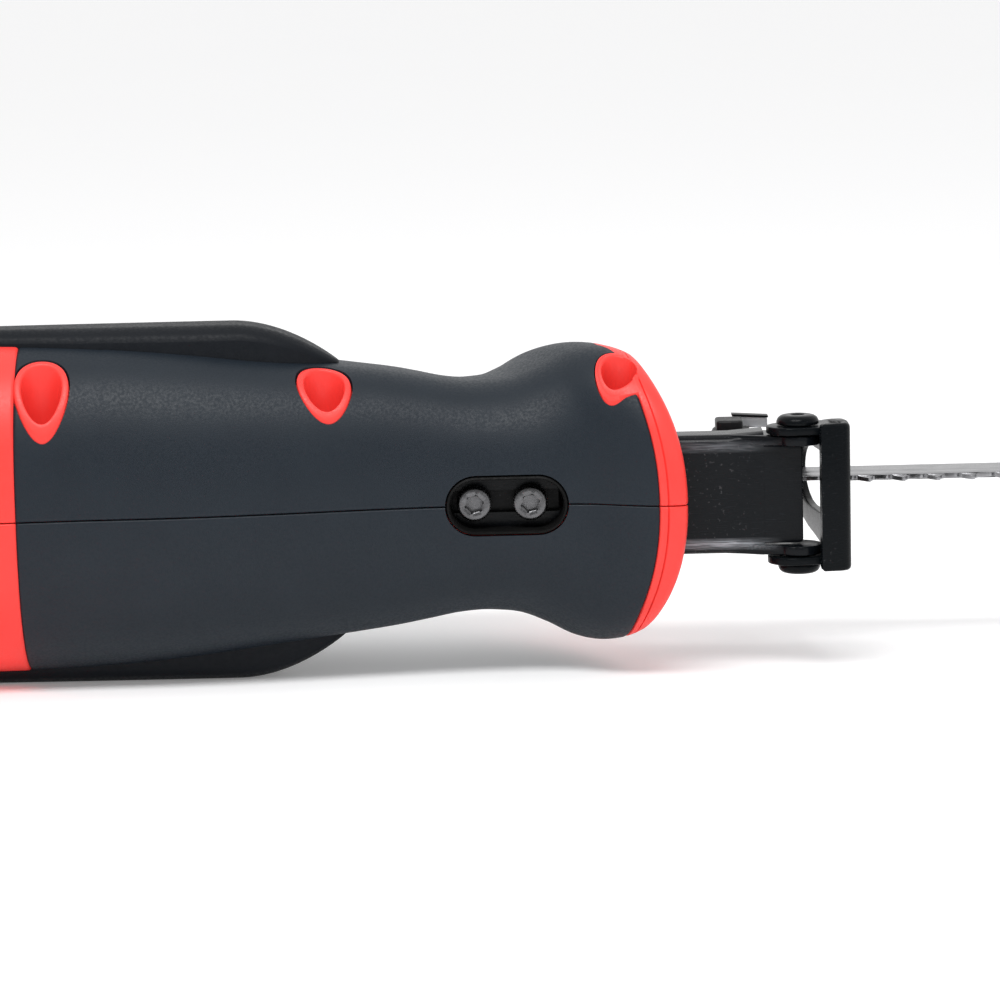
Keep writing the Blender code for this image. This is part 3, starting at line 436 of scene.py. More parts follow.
body = {
    "form": [(8, 35.0, -45.6, 30.4, -19.0), (0, 35.8, -46.7, 31.2, -19.0), (-3, 37.2, -47.7, 32.4, -19.5),
             (-9, 38.2, -47.4, 33.0, -20.0), (-16, 37.2, -45.2, 31.8, -20.0), (-24, 33.8, -41.8, 28.8, -20.0),
             (-32, 30.8, -40.6, 26.8, -20.0), (-40, 29.9, -40.6, 26.2, -20.0), (-52, 30.3, -40.7, 26.6, -20.0),
             (-64, 31.6, -41.0, 28.0, -21.0), (-80, 33.8, -42.5, 31.0, -21.5), (-100, 36.5, -45.5, 34.5, -21.0),
             (-125, 40.0, -48.5, 37.5, -20.0), (-153, 42.5, -49.5, 39.5, -19.0),
             (-200, 43.4, -52.0, 40.0, -15.0), (-240, 42.6, -51.5, 39.6, -10.0),
             (-258, 39.5, -46.5, 37.0, -6.0), (-270, 31.0, -36.0, 30.0, -4.0),
             (-276, 17.0, -21.0, 17.0, -3.0)],  # station, half width, underside, top, widest line
    "lowerPower": 2.4,
    "upperPower": 2.2,
    "rake": math.tan(math.radians(25)),  # the nose leans back towards its top
    "rakeEase": 0.25,  # and less so at its flanks
    "bow": 5.0,
    "leanFrom": -78.0,
    "leanFull": -34.0,
    "ringRear": -7.45,
    "gripRear": -169.85,
    "rear": -276.0,
    "skin": 1.9,
    "wall": 2.6,
    "mouthWall": 6.5,
    "seam": 0.14,  # half the gap between the two halves
    "sweep": 3.6,  # the ring's rear edge comes forward at the flanks
}


def leanBack(station, y, z, half, under):
    share = z / half
    lean = smoothStep(station, body["leanFrom"], body["leanFull"])
    return lean * (body["rake"] * (y - under) * (1 - body["rakeEase"] * share**6) + body["bow"] * share**2)


def bodySurface(station, angle, inset):
    # superellipse section: y = middle + reach*|sin a|^(2/p), z = half*|cos a|^(2/p),
    # each section leant back in the nose
    s, c = np.sin(angle), np.cos(angle)
    near = smoothStep(-station, 0, -body["ringRear"]) * (1 - smoothStep(-station, -body["ringRear"], 34))
    station = station + body["sweep"] * near * np.abs(c) ** 5
    half, under, top, middle = np.moveaxis(throughPoints(body["form"], station), -1, 0)
    power = np.where(s < 0, body["lowerPower"], body["upperPower"])
    reach = np.where(s < 0, under + inset - middle, top - inset - middle)
    y = middle + reach * np.abs(s) ** (2 / power)
    z = (half - inset) * np.abs(c) ** (2 / power)
    return np.stack([station - leanBack(station, y, z, half, under), y, z], -1)


def seamAngles(count):
    # angles from underside to top, packed towards the parting line so that its edge can be rounded
    close = np.array([0, 0.05, 0.12, 0.22, 0.36, 0.55, 0.8, 1.2]) / 38
    lean = np.arccos(close ** (2.3 / 2))
    middle = np.linspace(-lean[-1], lean[-1], count)
    return np.concatenate([-lean[:-1], middle, lean[:-1][::-1]])


def halfSurface(stations, inset, count, side, edge=0.32):
    # one half of the body at an inset that may change along it; the parting edge falls in by a rounded step
    station, angle = np.meshgrid(stations, seamAngles(count), indexing="ij")
    depth = inset[:, None] if isinstance(inset, np.ndarray) else inset
    flat = bodySurface(station, angle, depth)
    points = bodySurface(station, angle, depth + edge * np.exp(-(flat[..., 2] / 0.28) ** 2))
    points[..., 2] = np.hypot(points[..., 2], body["seam"]) * side
    return points


def skinHeight(x, y):
    # half width of the body at (x, y), found by stepping towards the section that passes through x
    station, z = x + 0.0, np.full(np.shape(x), 30.0)
    for step in range(16):
        half, under, top, middle = np.moveaxis(throughPoints(body["form"], station), -1, 0)
        below = y < middle
        reach = np.where(below, under - middle, top - middle)
        power = np.where(below, body["lowerPower"], body["upperPower"])
        z = half * np.clip(1 - np.abs((y - middle) / reach) ** power, 0, 1) ** (1 / power)
        station = 0.5 * station + 0.5 * (x + leanBack(station, y, z, half, under))
    return z


boss = {
    "front": (-17, -35.0),
    "body": [(-92, -34.0), (-48, 20), (-120, 27), (-163, -41), (-163, 27)],
    "handle": [(-300, 22), (-383, -62), (-318, -86.5)],
    "radius": 6.5,
    "wide": 1.07,  # length along the saw over height
    "window": 0.3,
    "hole": 5.1,
    "frontHole": 4.5,
    "seat": 16.1,
    "handleSeat": 8.0,
}


def oval(x, y, radius, count=72):
    return circle(0, 0, radius, count) * (boss["wide"], 1) + (x, y)


def screwBoss(x, y, outline, hole, rim=0.1):
    # ring whose top lies just under the body's skin, round the deep hole that holds the screw
    outerR = np.hypot(*outline.T)
    heading = outline / outerR[:, None]
    share = np.array([0, 0, 0.12, 0.3, 0.6, 0.82, 0.93, 1.0, 1.0])
    drop = np.array([6.0, 7.5 * rim, 2.8 * rim, 1.2 * rim, rim, 0.16, 0.42, 1.0, 6.0])
    radii = outerR + (hole - outerR) * share[:, None]
    px, py = x + radii * heading[:, 0], y + radii * heading[:, 1]
    top = skinHeight(px, py) - drop[:, None]
    foot = np.full_like(px[:1], boss["seat"])
    px = np.vstack([np.full_like(px[:1], x), px[:1], px, px[-1:], np.full_like(px[:1], x)])
    py = np.vstack([np.full_like(py[:1], y), py[:1], py, py[-1:], np.full_like(py[:1], y)])
    top = np.vstack([foot - 3, foot - 3, top, foot, foot])
    rings = np.stack([px, py, np.maximum(top, boss["seat"] - 3)], -1)
    return meshFrom("boss", *tubeOf(rings))


def stadium(x0, x1, half, count=20):
    front = circle(x1 - half, 0, half, count, -math.pi / 2, math.pi / 2)
    back = circle(x0 + half, 0, half, count, math.pi / 2, 1.5 * math.pi)
    return np.vstack([front, back])


recess = {"x": (-62.0, -30.5), "half": 7.8, "floor": -33.0, "rim": -40.2, "fall": 0.9}


def frontGrip(side):
    sign = sides[side]
    rear, front = body["gripRear"], body["ringRear"] - 0.12
    ends = np.array([0, 0.06, 0.15, 0.3, 0.5, 0.8])
    stations = np.concatenate([front - ends, np.linspace(front - 1.4, rear + 1.4, 170), (rear + ends)[::-1]])
    fromEnd = np.minimum(front - stations, stations - rear)
    roundOff = 0.5 * (1 - np.clip(fromEnd / 0.8, 0, 1)) ** 2
    # a fine step in the moulding near the rear of the grip
    band = 0.12 * smoothStep(-stations, 147.6, 148.0)
    outer = halfSurface(stations, roundOff + band, 72, sign)
    inner = halfSurface(stations, body["skin"], 72, sign, 0)
    mesh = meshFrom(side + "_grip_skin", *shell(outer, inner))
    windows = [prism(stadium(*recess["x"], recess["half"]), -60, -30, "Y")]
    if side == "right":
        windows += [prism(oval(x, y, boss["radius"] + boss["window"]), 12, 60) for x, y in boss["body"]]
        windows.append(prism(noseLobe(boss["window"]), 12, 60))
    mesh = carved(mesh, windows)
    piece(side + "_grip_skin", mesh, finishes["soft"], "frame", (side + "_front_grip",), 32)


def noseLobe(wider=0.0):
    # outline of the red shell where it runs back from the ring round the front screw
    x, y = boss["front"]
    r = 6.1 + wider
    front = body["ringRear"] + (6 if wider else 0.6)
    around = circle(x, y, r, 40, math.radians(-88), math.radians(-262))
    flank = [(x - 2.4 - wider, y + r + 3.4), (x - 5.2 - wider, y + r + 8.5), (x - 6.4 - wider, y + r + 17),
             (x - 5.0 - wider, y + r + 28), (x - 1.0 - wider, y + r + 40), (x + 4.0 - wider, y + r + 50),
             (front, y + r + 56)]
    under = [(front, y - r + 0.6), (x + 4, y - r + 0.15)]
    return np.vstack([under, around, [(x - 1.3 - 0.4 * wider, y + r + 0.9)], flank])


def noseLobePiece():
    # the red shell's own skin there, level with the soft skin, with the hole for the front screw
    front = -body["ringRear"] - 0.5
    stations = -np.concatenate([[front, front + 0.05, front + 0.15], np.linspace(front + 0.3, 34, 90)])
    outer, inner = halfSurface(stations, 0.02, 64, 1), halfSurface(stations, 2.2, 64, 1, 0)
    mesh = meshFrom("nose_lobe", *shell(outer, inner))
    mesh = carved(mesh, [prism(noseLobe(), 12, 60)], "INTERSECT")
    mesh = carved(mesh, [prism(circle(*boss["front"], boss["frontHole"] + 1.0, 64), 5, 60)])
    piece("nose_lobe", mesh, finishes["red"], "frame", ("right_housing",), 32)


vents = {"first": (-252.0, -190.0), "count": (4, 3), "pitch": 7.0, "width": 3.2, "y": (-23.1, 13.4)}


def ventSlots(sign):
    slots = []
    for first, count in zip(vents["first"], vents["count"]):
        for i in range(count):
            x = first + i * vents["pitch"] + vents["width"] / 2
            r = vents["width"] / 2
            low, high = vents["y"]
            outline = np.vstack([circle(x, high - r, r, 12, 0, math.pi),
                                 circle(x, low + r, r, 12, math.pi, 2 * math.pi)])
            slots.append(prism(outline, *sorted((25 * sign, 60 * sign))))
    return slots


def housingShell(side):
    sign = sides[side]
    rear, front = body["gripRear"], body["ringRear"]
    lip = np.array([0, -0.12, -0.3, -0.6, -1.0, -1.6, -2.4, -3.4, -4.4, -5.0, -5.22, -5.3, -5.42, -5.58,
                    -5.7, -5.78, -6.0, -6.6, -7.1, -7.3, -7.42, -7.45])
    under = np.concatenate([[-7.46], np.linspace(-9, rear + 0.4, 120), [rear + 0.01]])
    back = np.concatenate([rear - np.array([0, 0.1, 0.25, 0.5, 0.9]), np.linspace(rear - 2, body["rear"], 100)])
    stations = np.concatenate([lip, under, back])
    outerInset = np.zeros(len(stations))
    outerInset[:len(lip)] = (1.3 * (1 - np.clip(-lip / 1.6, 0, 1)) ** 2  # rounded lip
                             + 0.5 * np.exp(-((lip + 5.5) / 0.2) ** 4)  # groove between the two bands
                             + 0.35 * np.clip((-lip - 7.2) / 0.25, 0, 1) ** 2)
    outerInset[len(lip):len(lip) + len(under)] = body["skin"] + 0.35
    outerInset[len(lip) + len(under):] = 0.45 * (1 - np.clip((rear - back) / 0.8, 0, 1)) ** 2
    innerInset = np.where(stations > rear, body["skin"] + body["wall"], body["wall"])
    innerInset = np.where(stations > -20, body["mouthWall"], innerInset)
    outer = halfSurface(stations, outerInset, 64, sign)
    inner = halfSurface(stations, innerInset.astype(float), 64, sign, 0)
    # the rear closes in a dome: each section shrinks by k while x falls back by sqrt(1 - k^2)
    k = np.cos(np.linspace(0, math.pi / 2, 22))[1:, None]
    domes = []
    for grid, depth in ((outer, 2.2), (inner, 1.2)):
        last = grid[-1]
        centre = np.array([last[:, 0].mean(), 0, 0]) + np.array([0, -3.0, body["seam"] * sign])
        dome = np.empty((len(k), *last.shape))
        dome[..., 0] = last[:, 0] - depth * np.sqrt(1 - k**2)
        dome[..., 1] = centre[1] + (last[:, 1] - centre[1]) * k
        dome[..., 2] = centre[2] + (last[:, 2] - centre[2]) * k
        domes.append(np.concatenate([grid, dome]))
    mesh = meshFrom(side + "_shell", *shell(*domes))
    cutters = [prism(stadium(*recess["x"], recess["half"] - 0.4), -60, -30, "Y")] + ventSlots(sign)
    if side == "right":
        cutters += [prism(circle(x, y, boss["hole"] + 0.02, 64), boss["seat"] - 1, 60) for x, y in boss["body"]]
        cutters.append(prism(circle(*boss["front"], boss["frontHole"], 64), boss["seat"] - 1, 60))
    mesh = carved(mesh, cutters)
    piece(side + "_shell", mesh, finishes["red"], "frame", (side + "_housing",), 32)


def bosses():
    rings = [screwBoss(x, y, oval(0, 0, boss["radius"]), boss["hole"]) for x, y in boss["body"]]
    rim = circle(0, 0, boss["frontHole"] + 1.15, 72)
    rings.append(screwBoss(*boss["front"], rim, boss["frontHole"], 0.035))
    mesh = joined("screw_bosses", rings)
    piece("screw_bosses", mesh, finishes["red"], "frame", ("right_housing",), 40)


def recessWall():
    # moulded wall of the clamp recess: a stadium tube with a rounded rim that follows the underside
    x0, x1 = recess["x"]
    section = ((0.25, 0), (0.25, 1), (0.5, 1.12), (0.95, 1.15), (1.25, 1.05), (1.35, 0.9), (1.35, 0))
    rows = []
    for inset, height in section:
        outline = stadium(x0 + inset, x1 - inset, recess["half"] - inset, 24)
        rim = recess["rim"] + recess["fall"] * (np.abs(outline[:, 1]) / recess["half"]) ** 2.6
        y = recess["floor"] + (rim - recess["floor"]) * height
        rows.append(np.stack([outline[:, 0], y, outline[:, 1]], -1))
    grid = np.array(rows)
    mesh = meshFrom("recess_wall", grid.reshape(-1, 3),
                    gridFaces(len(rows), grid.shape[1]).tolist() + ringCap(grid))
    piece("recess_wall", mesh, finishes["seal"], "frame", ("right_front_grip",))


def ringCap(grid):
    # closes a grid's last row back to its first
    rows, cols = grid.shape[:2]
    i = np.arange(cols)
    return np.stack([i + (rows - 1) * cols, (i + 1) % cols + (rows - 1) * cols, (i + 1) % cols, i], -1).tolist()


handle = {
    "line": [(-246, 16, 14), (-285, 23, 14), (-325, 22, 15), (-360, 8, 17), (-378, -22, 17), (-384, -56, 16.5),
             (-372, -84, 15), (-340, -93, 11), (-300, -80, 11), (-262, -53, 11), (-238, -36, 11)],
    "half": 17.0,
    "power": 2.6,
    "flare": 4.0,
    "gripFrom": 0.4,
    "gripTo": 0.555,
    "gripProud": 1.75,
    "gripAngle": 1.2,  # where the soft patch starts round the section
    "triggerSlot": [(-371, -48), (-335, -48), (-335, -3), (-371, -3)],
    "dialSlot": [(-339, 26), (-313, 26), (-313, 60), (-339, 60)],
    "lockHole": (-372, -2, 5.4),
}


def handleSurface(t, angle, proud=0.0):
    # centre line(t) + normal*depth*|cos a|^(2/p) across the plane of the handle + z*half*|sin a|^(2/p)
    table = [(i / (len(handle["line"]) - 1), *row) for i, row in enumerate(handle["line"])]
    here, ahead, behind = (throughPoints(table, t + d) for d in (0, 0.003, -0.003))
    tangent = (ahead - behind)[..., :2]
    tangent /= np.linalg.norm(tangent, axis=-1, keepdims=True)
    flare = handle["flare"] * (np.exp(-(t / 0.11) ** 2) + np.exp(-((1 - t) / 0.11) ** 2))
    depth = here[..., 2] + 0.7 * flare + proud
    half = handle["half"] + 0.6 * flare + proud
    c, s = np.cos(angle), np.sin(angle)
    u = np.sign(c) * np.abs(c) ** (2 / handle["power"]) * depth
    v = np.sign(s) * np.abs(s) ** (2 / handle["power"]) * half
    return np.stack([here[..., 0] - tangent[..., 1] * u, here[..., 1] + tangent[..., 0] * u, v], -1)


def handleAngles(count):
    close = np.array([0, 0.006, 0.014, 0.025, 0.04])
    return np.concatenate([close, np.linspace(0.06, math.pi - 0.06, count), math.pi - close[::-1]])


def handleHalf(side):
    sign = sides[side]
    t, angle = np.meshgrid(np.linspace(0, 1, 220), handleAngles(44), indexing="ij")
    rings = handleSurface(t, angle)
    inward = 0.35 * np.exp(-(rings[..., 2] / 0.3) ** 2)
    rings = handleSurface(t, angle, -inward)
    rings[..., 2] = np.hypot(rings[..., 2], body["seam"]) * sign
    mesh = meshFrom(side + "_handle", *tubeOf(rings))
    cutters = [prism(roundedLoop(handle["triggerSlot"], 3), -7.4, 7.4),
               prism(roundedLoop(handle["dialSlot"], 1), -4.4, 4.4)]
    if side == "right":
        cutters += [prism(circle(x, y, boss["hole"], 48), boss["handleSeat"], 40) for x, y in boss["handle"]]
    else:
        cutters.append(prism(circle(*handle["lockHole"], 48), -40, -5))
    mesh = carved(mesh, cutters)
    piece(side + "_handle", mesh, finishes["red"], "frame", (side + "_housing",), 32)


def rearGrip(side):
    # soft patch let on to the back of the handle; its edge runs down to the surface in a round
    sign = sides[side]
    edge = np.array([0, 0.02, 0.05, 0.1, 0.2])
    across = np.concatenate([edge, np.linspace(0.3, 1, 30)])  # from the free edge to the parting line
    along = np.concatenate([edge * 0.5, np.linspace(0.12, 0.88, 60), 1 - edge[::-1] * 0.5])
    v, u = np.meshgrid(along, across, indexing="ij")
    t = handle["gripFrom"] + (handle["gripTo"] - handle["gripFrom"]) * v
    angle = handle["gripAngle"] + (math.pi - handle["gripAngle"]) * u
    fromEnd = np.minimum(v, 1 - v)
    rise = (1 - (1 - np.clip(u / 0.1, 0, 1)) ** 3) * (1 - (1 - np.clip(fromEnd / 0.06, 0, 1)) ** 3)
    ribs = 0.22 * np.abs(np.sin(v * math.pi * 16)) ** 0.7
    ribs = ribs * smoothStep(u, 0.2, 0.35) * smoothStep(fromEnd, 0.05, 0.12)
    outer = handleSurface(t, angle, handle["gripProud"] * rise + ribs * rise)
    inner = handleSurface(t, angle, -0.4)
    for grid in (outer, inner):
        grid[..., 2] = np.hypot(grid[..., 2], body["seam"]) * sign
    mesh = meshFrom(side + "_rear_skin", *shell(outer, inner))
    piece(side + "_rear_skin", mesh, finishes["soft"], "frame", (side + "_rear_grip",))


pad = {"tip": -88.6, "widest": -122.0, "rear": -225.0, "y": -19.5, "half": 10.0, "face": 46.0, "bend": -116.0,
       "edgeDrop": 2.8, "ease": 0.9, "tipDrop": 10.4, "tail": -205.0, "tailDrop": 2.0}


def sidePad(side):
    # leaf on the flank: y = middle +- half*sqrt(1 - |distance from the widest place|^2.1), crowned outside
    sign = sides[side]
    spots = (1 - np.cos(np.linspace(0, math.pi, 120))) / 2
    x = pad["tip"] + (pad["rear"] - pad["tip"]) * spots
    reach = np.where(x > pad["widest"], pad["tip"] - pad["widest"], pad["widest"] - pad["rear"])
    swell = pad["half"] * np.clip(1 - np.abs((x - pad["widest"]) / reach) ** 2.1, 0, 1) ** 0.5 + 0.02
    across = np.concatenate([[-1, -1, -0.995, -0.985, -0.96, -0.92], np.linspace(-0.86, 0.86, 24),
                             [0.92, 0.96, 0.985, 0.995, 1, 1]])
    v = np.tile(across, (len(x), 1))
    px = np.repeat(x[:, None], len(across), 1)
    py = pad["y"] + swell[:, None] * v
    taper = pad["tipDrop"] * np.clip((px - pad["bend"]) / (pad["tip"] - pad["bend"]), 0, 1) ** 1.9
    tail = pad["tailDrop"] * np.clip((pad["tail"] - px) / (pad["tail"] - pad["rear"]), 0, 1) ** 2
    crown = pad["edgeDrop"] * np.clip((np.abs(v) - 0.45) / 0.55, 0, 1) ** 2
    ease = pad["ease"] * np.clip((np.abs(v) - 0.9) / 0.1, 0, 1) ** 2
    floor = skinHeight(px, py)
    top = np.maximum(pad["face"] - taper - tail - (crown + ease) * np.clip(swell[:, None] / pad["half"], 0, 1),
                     floor + 0.25)
    outer = np.stack([px, py, top], -1)
    outer[:, 0, 2], outer[:, -1, 2] = floor[:, 0] - 0.6, floor[:, -1] - 0.6
    inner = np.stack([px, py, np.minimum(floor - 0.6, top - 0.3)], -1)
    outer[..., 2] *= sign
    inner[..., 2] *= sign
    mesh = meshFrom(side + "_pad", *shell(outer, inner))
    piece(side + "_pad", mesh, finishes["pad"], "frame", (side + "_side_pad",), 28)


for side in sides:
    frontGrip(side)
    housingShell(side)
    handleHalf(side)
    rearGrip(side)
    sidePad(side)
bosses()
noseLobePiece()
recessWall()
print("body made")


clampScrew = {"x": (-54.6, -40.3), "head": 4.25, "shank": 2.4, "face": -37.8, "under": -32.8, "key": 2.0}


def knurledHead(x):
    # r = head + 0.17*|sin 19a| on the side wall; the socket is a hexagon r = key/cos(a mod 60 deg)
    face, under, head, shank = (clampScrew[key] for key in ("face", "under", "head", "shank"))

    def shape(along, angle, radius):
        knurl = 0.17 * np.abs(np.sin(19 * angle)) * (radius > 4.2) * (along > face + 0.5)
        hexed = clampScrew["key"] / np.cos((angle + math.pi / 6) % (math.pi / 3) - math.pi / 6)
        return np.where(np.isclose(radius, clampScrew["key"]), hexed, radius + knurl)
    profile = [(-16, 0), (-16, shank), (under, shank), (under, head), (face + 1.6, head), (face + 0.55, head),
               (face + 0.2, 4.05), (face, 3.7), (face, 2.5), (face + 0.3, 2.0), (face + 2.4, 2.0),
               (face + 2.4, 0)]
    return meshFrom("screw", *turned(profile, (x, 0, 0), (0, 1, 0), 152, shape))


for name, x in zip(("rear_clamp_screw", "front_clamp_screw"), clampScrew["x"]):
    piece(name + "_fine", knurledHead(x), finishes["burnished"], "frame", (name,), 40)


bar = {"half": 15.4, "under": -32.5, "sheet": 2.5, "top": -22.5, "rear": -71.5, "front": 29.4, "bend": 3.4,
       "lobe": 6.0, "flare": 0.045, "slot": (-68.5, -31.0, 2.9)}


def channel(x0, x1, flare=0.0):
    # U section with round bends, carried along X; flare spreads its front end
    h, u, t, s = bar["half"], bar["under"], bar["top"], bar["sheet"]
    outer = rounded([(-h, t), (-h, u), (h, u), (h, t)], bar["bend"], 10)
    inner = rounded([(h - s, t), (h - s, u + s), (-h + s, u + s), (-h + s, t)], bar["bend"] - 1.6, 10)
    outline = np.vstack([outer, inner])

    def lay(a, b, c):
        spread = 1 + flare * smoothStep(c, (x0 - x1) / 2, (x1 - x0) / 2)
        return np.stack([(x0 + x1) / 2 + c, b, a * spread], -1)
    return sheetMesh("channel", outline, [], x1 - x0, 0.12 if flare else 0.22, lay)


def upright(outline, z, thickness, edge=0.3, holes=()):
    # sheet that stands across Z
    return sheetMesh("upright", outline, holes, thickness, edge, lambda a, b, c: np.stack([a, b, z + c], -1))


def shoeBar():
    px, py = shoePivot[:2]
    main = channel(bar["rear"], 11)
    lobe = np.vstack([[(6, bar["top"] - 0.1), (6, bar["under"] + 3.2), (14, bar["under"] + 0.6)],
                      circle(px, py, bar["lobe"], 40, math.radians(-138), math.radians(78)),
                      [(23, bar["top"] - 0.1)]])
    parts = [channel(10.6, 19.6, bar["flare"])]
    for sign in (1, -1):
        parts.append(upright(lobe, sign * (bar["half"] - bar["sheet"] / 2 - 0.03), bar["sheet"] - 0.1, 0.35))
    tongue = [(8, -12.6), (bar["front"], -12.6), (bar["front"], 12.6), (8, 12.6)]
    parts.append(sheetMesh("tongue", roundedLoop(tongue, 1.2), [], bar["sheet"] - 0.06, 0.35,
                           lambda a, b, c: np.stack([a, bar["under"] + bar["sheet"] / 2 + c, b], -1)))
    mesh = carved(main, parts, "UNION")
    slot = stadium(*bar["slot"][:2], bar["slot"][2])
    mesh = carved(mesh, [prism(slot, -40, -25, "Y")])
    piece("shoe_bar_fine", mesh, finishes["bar"], "shoe_bar", ("shoe_bar",), 30)


shoe = {"lean": 8.0, "rear": 32.2, "front": 40.2, "half": 19.1, "under": -41.8, "top": 19.0, "sheet": 2.6,
        "ear": 2.0, "bend": 2.9}


def leant(points):
    # turned about the pivot, so that the shoe stands back at rest
    turn = math.radians(shoe["lean"])
    d = np.asarray(points) - shoePivot
    out = d.copy()
    out[..., 0] = d[..., 0] * math.cos(turn) - d[..., 1] * math.sin(turn)
    out[..., 1] = d[..., 0] * math.sin(turn) + d[..., 1] * math.cos(turn)
    return shoePivot + out


def mirroredLoop(half):
    half = np.array(half, float)
    return np.vstack([half, half[::-1] * (-1, 1)])


def shoePlate():
    px, py = shoePivot[:2]
    face = shoe["front"] - shoe["sheet"] / 2
    arch = mirroredLoop([(19.1, -39.3), (18.9, -31), (17.2, -20), (15.2, -9), (14.0, 1), (12.1, 9), (9.2, 14.6),
                         (5.2, 18), (1.2, 19)])
    slot = mirroredLoop([(4.2, -19), (7.2, -17.2), (8.2, -14), (8.2, 0), (7.6, 5), (6, 9.4), (3.6, 12.6),
                         (1, 14)])
    parts = [sheetMesh("arch", roundedLoop(arch, 3, 4), [roundedLoop(slot, 1.5, 4)[::-1]], shoe["sheet"], 0.45,
                       lambda a, b, c: leant(np.stack([face + c, b, a], -1)))]
    # foot: the sheet turned back along the underside
    front, under, rear, t = shoe["front"], shoe["under"], shoe["rear"], shoe["sheet"]
    angled = np.vstack([[(front, -36)], circle(front - shoe["bend"], under + shoe["bend"], shoe["bend"], 12,
                                               0, -math.pi / 2),
                        [(rear, under), (rear, under + t)],
                        circle(front - t - 0.8, under + t + 0.8, 0.8, 6, -math.pi / 2, 0), [(front - t, -36)]])
    parts.append(sheetMesh("foot", angled, [], 2 * shoe["half"] - 0.2, 1.2,
                           lambda a, b, c: leant(np.stack([a, b, c], -1))))
    ear = np.vstack([circle(px - 1.6, py, 6.5, 30, math.radians(80), math.radians(280)),
                     [(front - 1, py - 6.8), (front - 1, py + 7.4)]])
    for sign in (1, -1):
        z = sign * (bar["half"] + 0.3 + shoe["ear"] / 2)
        parts.append(sheetMesh("ear", roundedLoop(ear, 0.6, 2), [], shoe["ear"], 0.4,
                               lambda a, b, c, z=z: leant(np.stack([a, b, z + c], -1))))
    mesh = joined("shoe_plate_fine", parts)
    piece("shoe_plate_fine", mesh, finishes["paint"], "shoe", ("shoe_plate",), 30)


def shoeRivet(side):
    # domed head, flat at its crown with a small centre dimple
    sign = sides[side]
    z0 = bar["half"] + shoe["ear"] + 0.6
    profile = [(bar["half"] - 2.2, 0), (bar["half"] - 2.2, 2.6), (z0, 2.6), (z0, 5.4), (z0 + 0.9, 5.4),
               (z0 + 1.7, 5.0), (z0 + 2.2, 4.3), (z0 + 2.4, 3.4), (z0 + 2.4, 1.9), (z0 + 2.05, 1.4),
               (z0 + 2.0, 0)]
    mesh = meshFrom(side + "_rivet", *turned(rounded(profile, 0.25, 3), shoePivot * (1, 1, 0), (0, 0, sign),
                                             72))
    piece(side + "_rivet", mesh, finishes["paint"], "shoe_bar", (side + "_shoe_rivet",), 45)


shoeBar()
shoePlate()
for side in sides:
    shoeRivet(side)
print("shoe made")


blade = {"half": 9.5, "sheet": 1.1, "pitch": 4.5, "depth": 1.6, "root": 27.0, "tang": 7.0, "tip": 151.0,
         "set": 0.36}


def sawBlade():
    top, low = blade["half"], -blade["half"]
    valley = low + blade["depth"]
    teeth = np.arange(blade["root"] + 5, blade["tip"] - 12, blade["pitch"])
    cut = np.array([(0, valley), (0.5, valley - 0.15), (blade["pitch"] * 0.55, low + 0.12),
                    (blade["pitch"] * 0.68, low), (blade["pitch"] * 0.74, low + 0.1),
                    (blade["pitch"] * 0.9, valley - 0.25)])
    row = np.vstack([cut + (x, 0) for x in teeth])
    tip, root = blade["tip"], blade["root"]
    outline = np.vstack([[(blade["tang"], -6), (root - 3, -6), (root - 1, -6.6), (root, valley)], row,
                         [(row[-1, 0] + 1, valley), (tip, -3), (tip - 4, top - 2), (tip - 6, top - 0.5),
                          (tip - 9, top), (root + 3, top), (root, 7.6), (root - 3, 6), (blade["tang"], 6)]])
    hole = circle(12, 0, 2.1, 32)[::-1]

    def lay(a, b, c):
        # alternate teeth bend to either side
        which = np.floor((a - teeth[0]) / blade["pitch"])
        ramp = np.clip((valley + 1.2 - b) / (blade["depth"] + 1.2), 0, 1)
        inTeeth = (a > teeth[0] - 0.1) & (a < teeth[-1] + blade["pitch"])
        return np.stack([a, b, c + blade["set"] * ramp * inTeeth * np.where(which % 2 == 0, 1, -1)], -1)
    mesh = sheetMesh("saw_blade_fine", outline, [hole], blade["sheet"], 0.1, lay)
    piece("saw_blade_fine", mesh, finishes["blade"], "plunger", ("saw_blade",), 30)


def roundPiece(name, profile, centre, axis, material, bodyName, stands, corner=0.25, segments=96,
               wobble=None):
    mesh = meshFrom(name, *turned(rounded(profile, corner, 4), centre, axis, segments, wobble))
    return piece(name, mesh, finishes[material], bodyName, stands, 40)


def gripRibs(count, depth):
    # radius grows by depth*|sin| round the outside
    return lambda along, angle, radius: radius + depth * np.abs(np.sin(count / 2 * angle)) * (radius > 12.5)


spring = {"turns": 2.0, "wire": 0.5, "radius": 10.55, "start": 6.1, "length": 1.05}


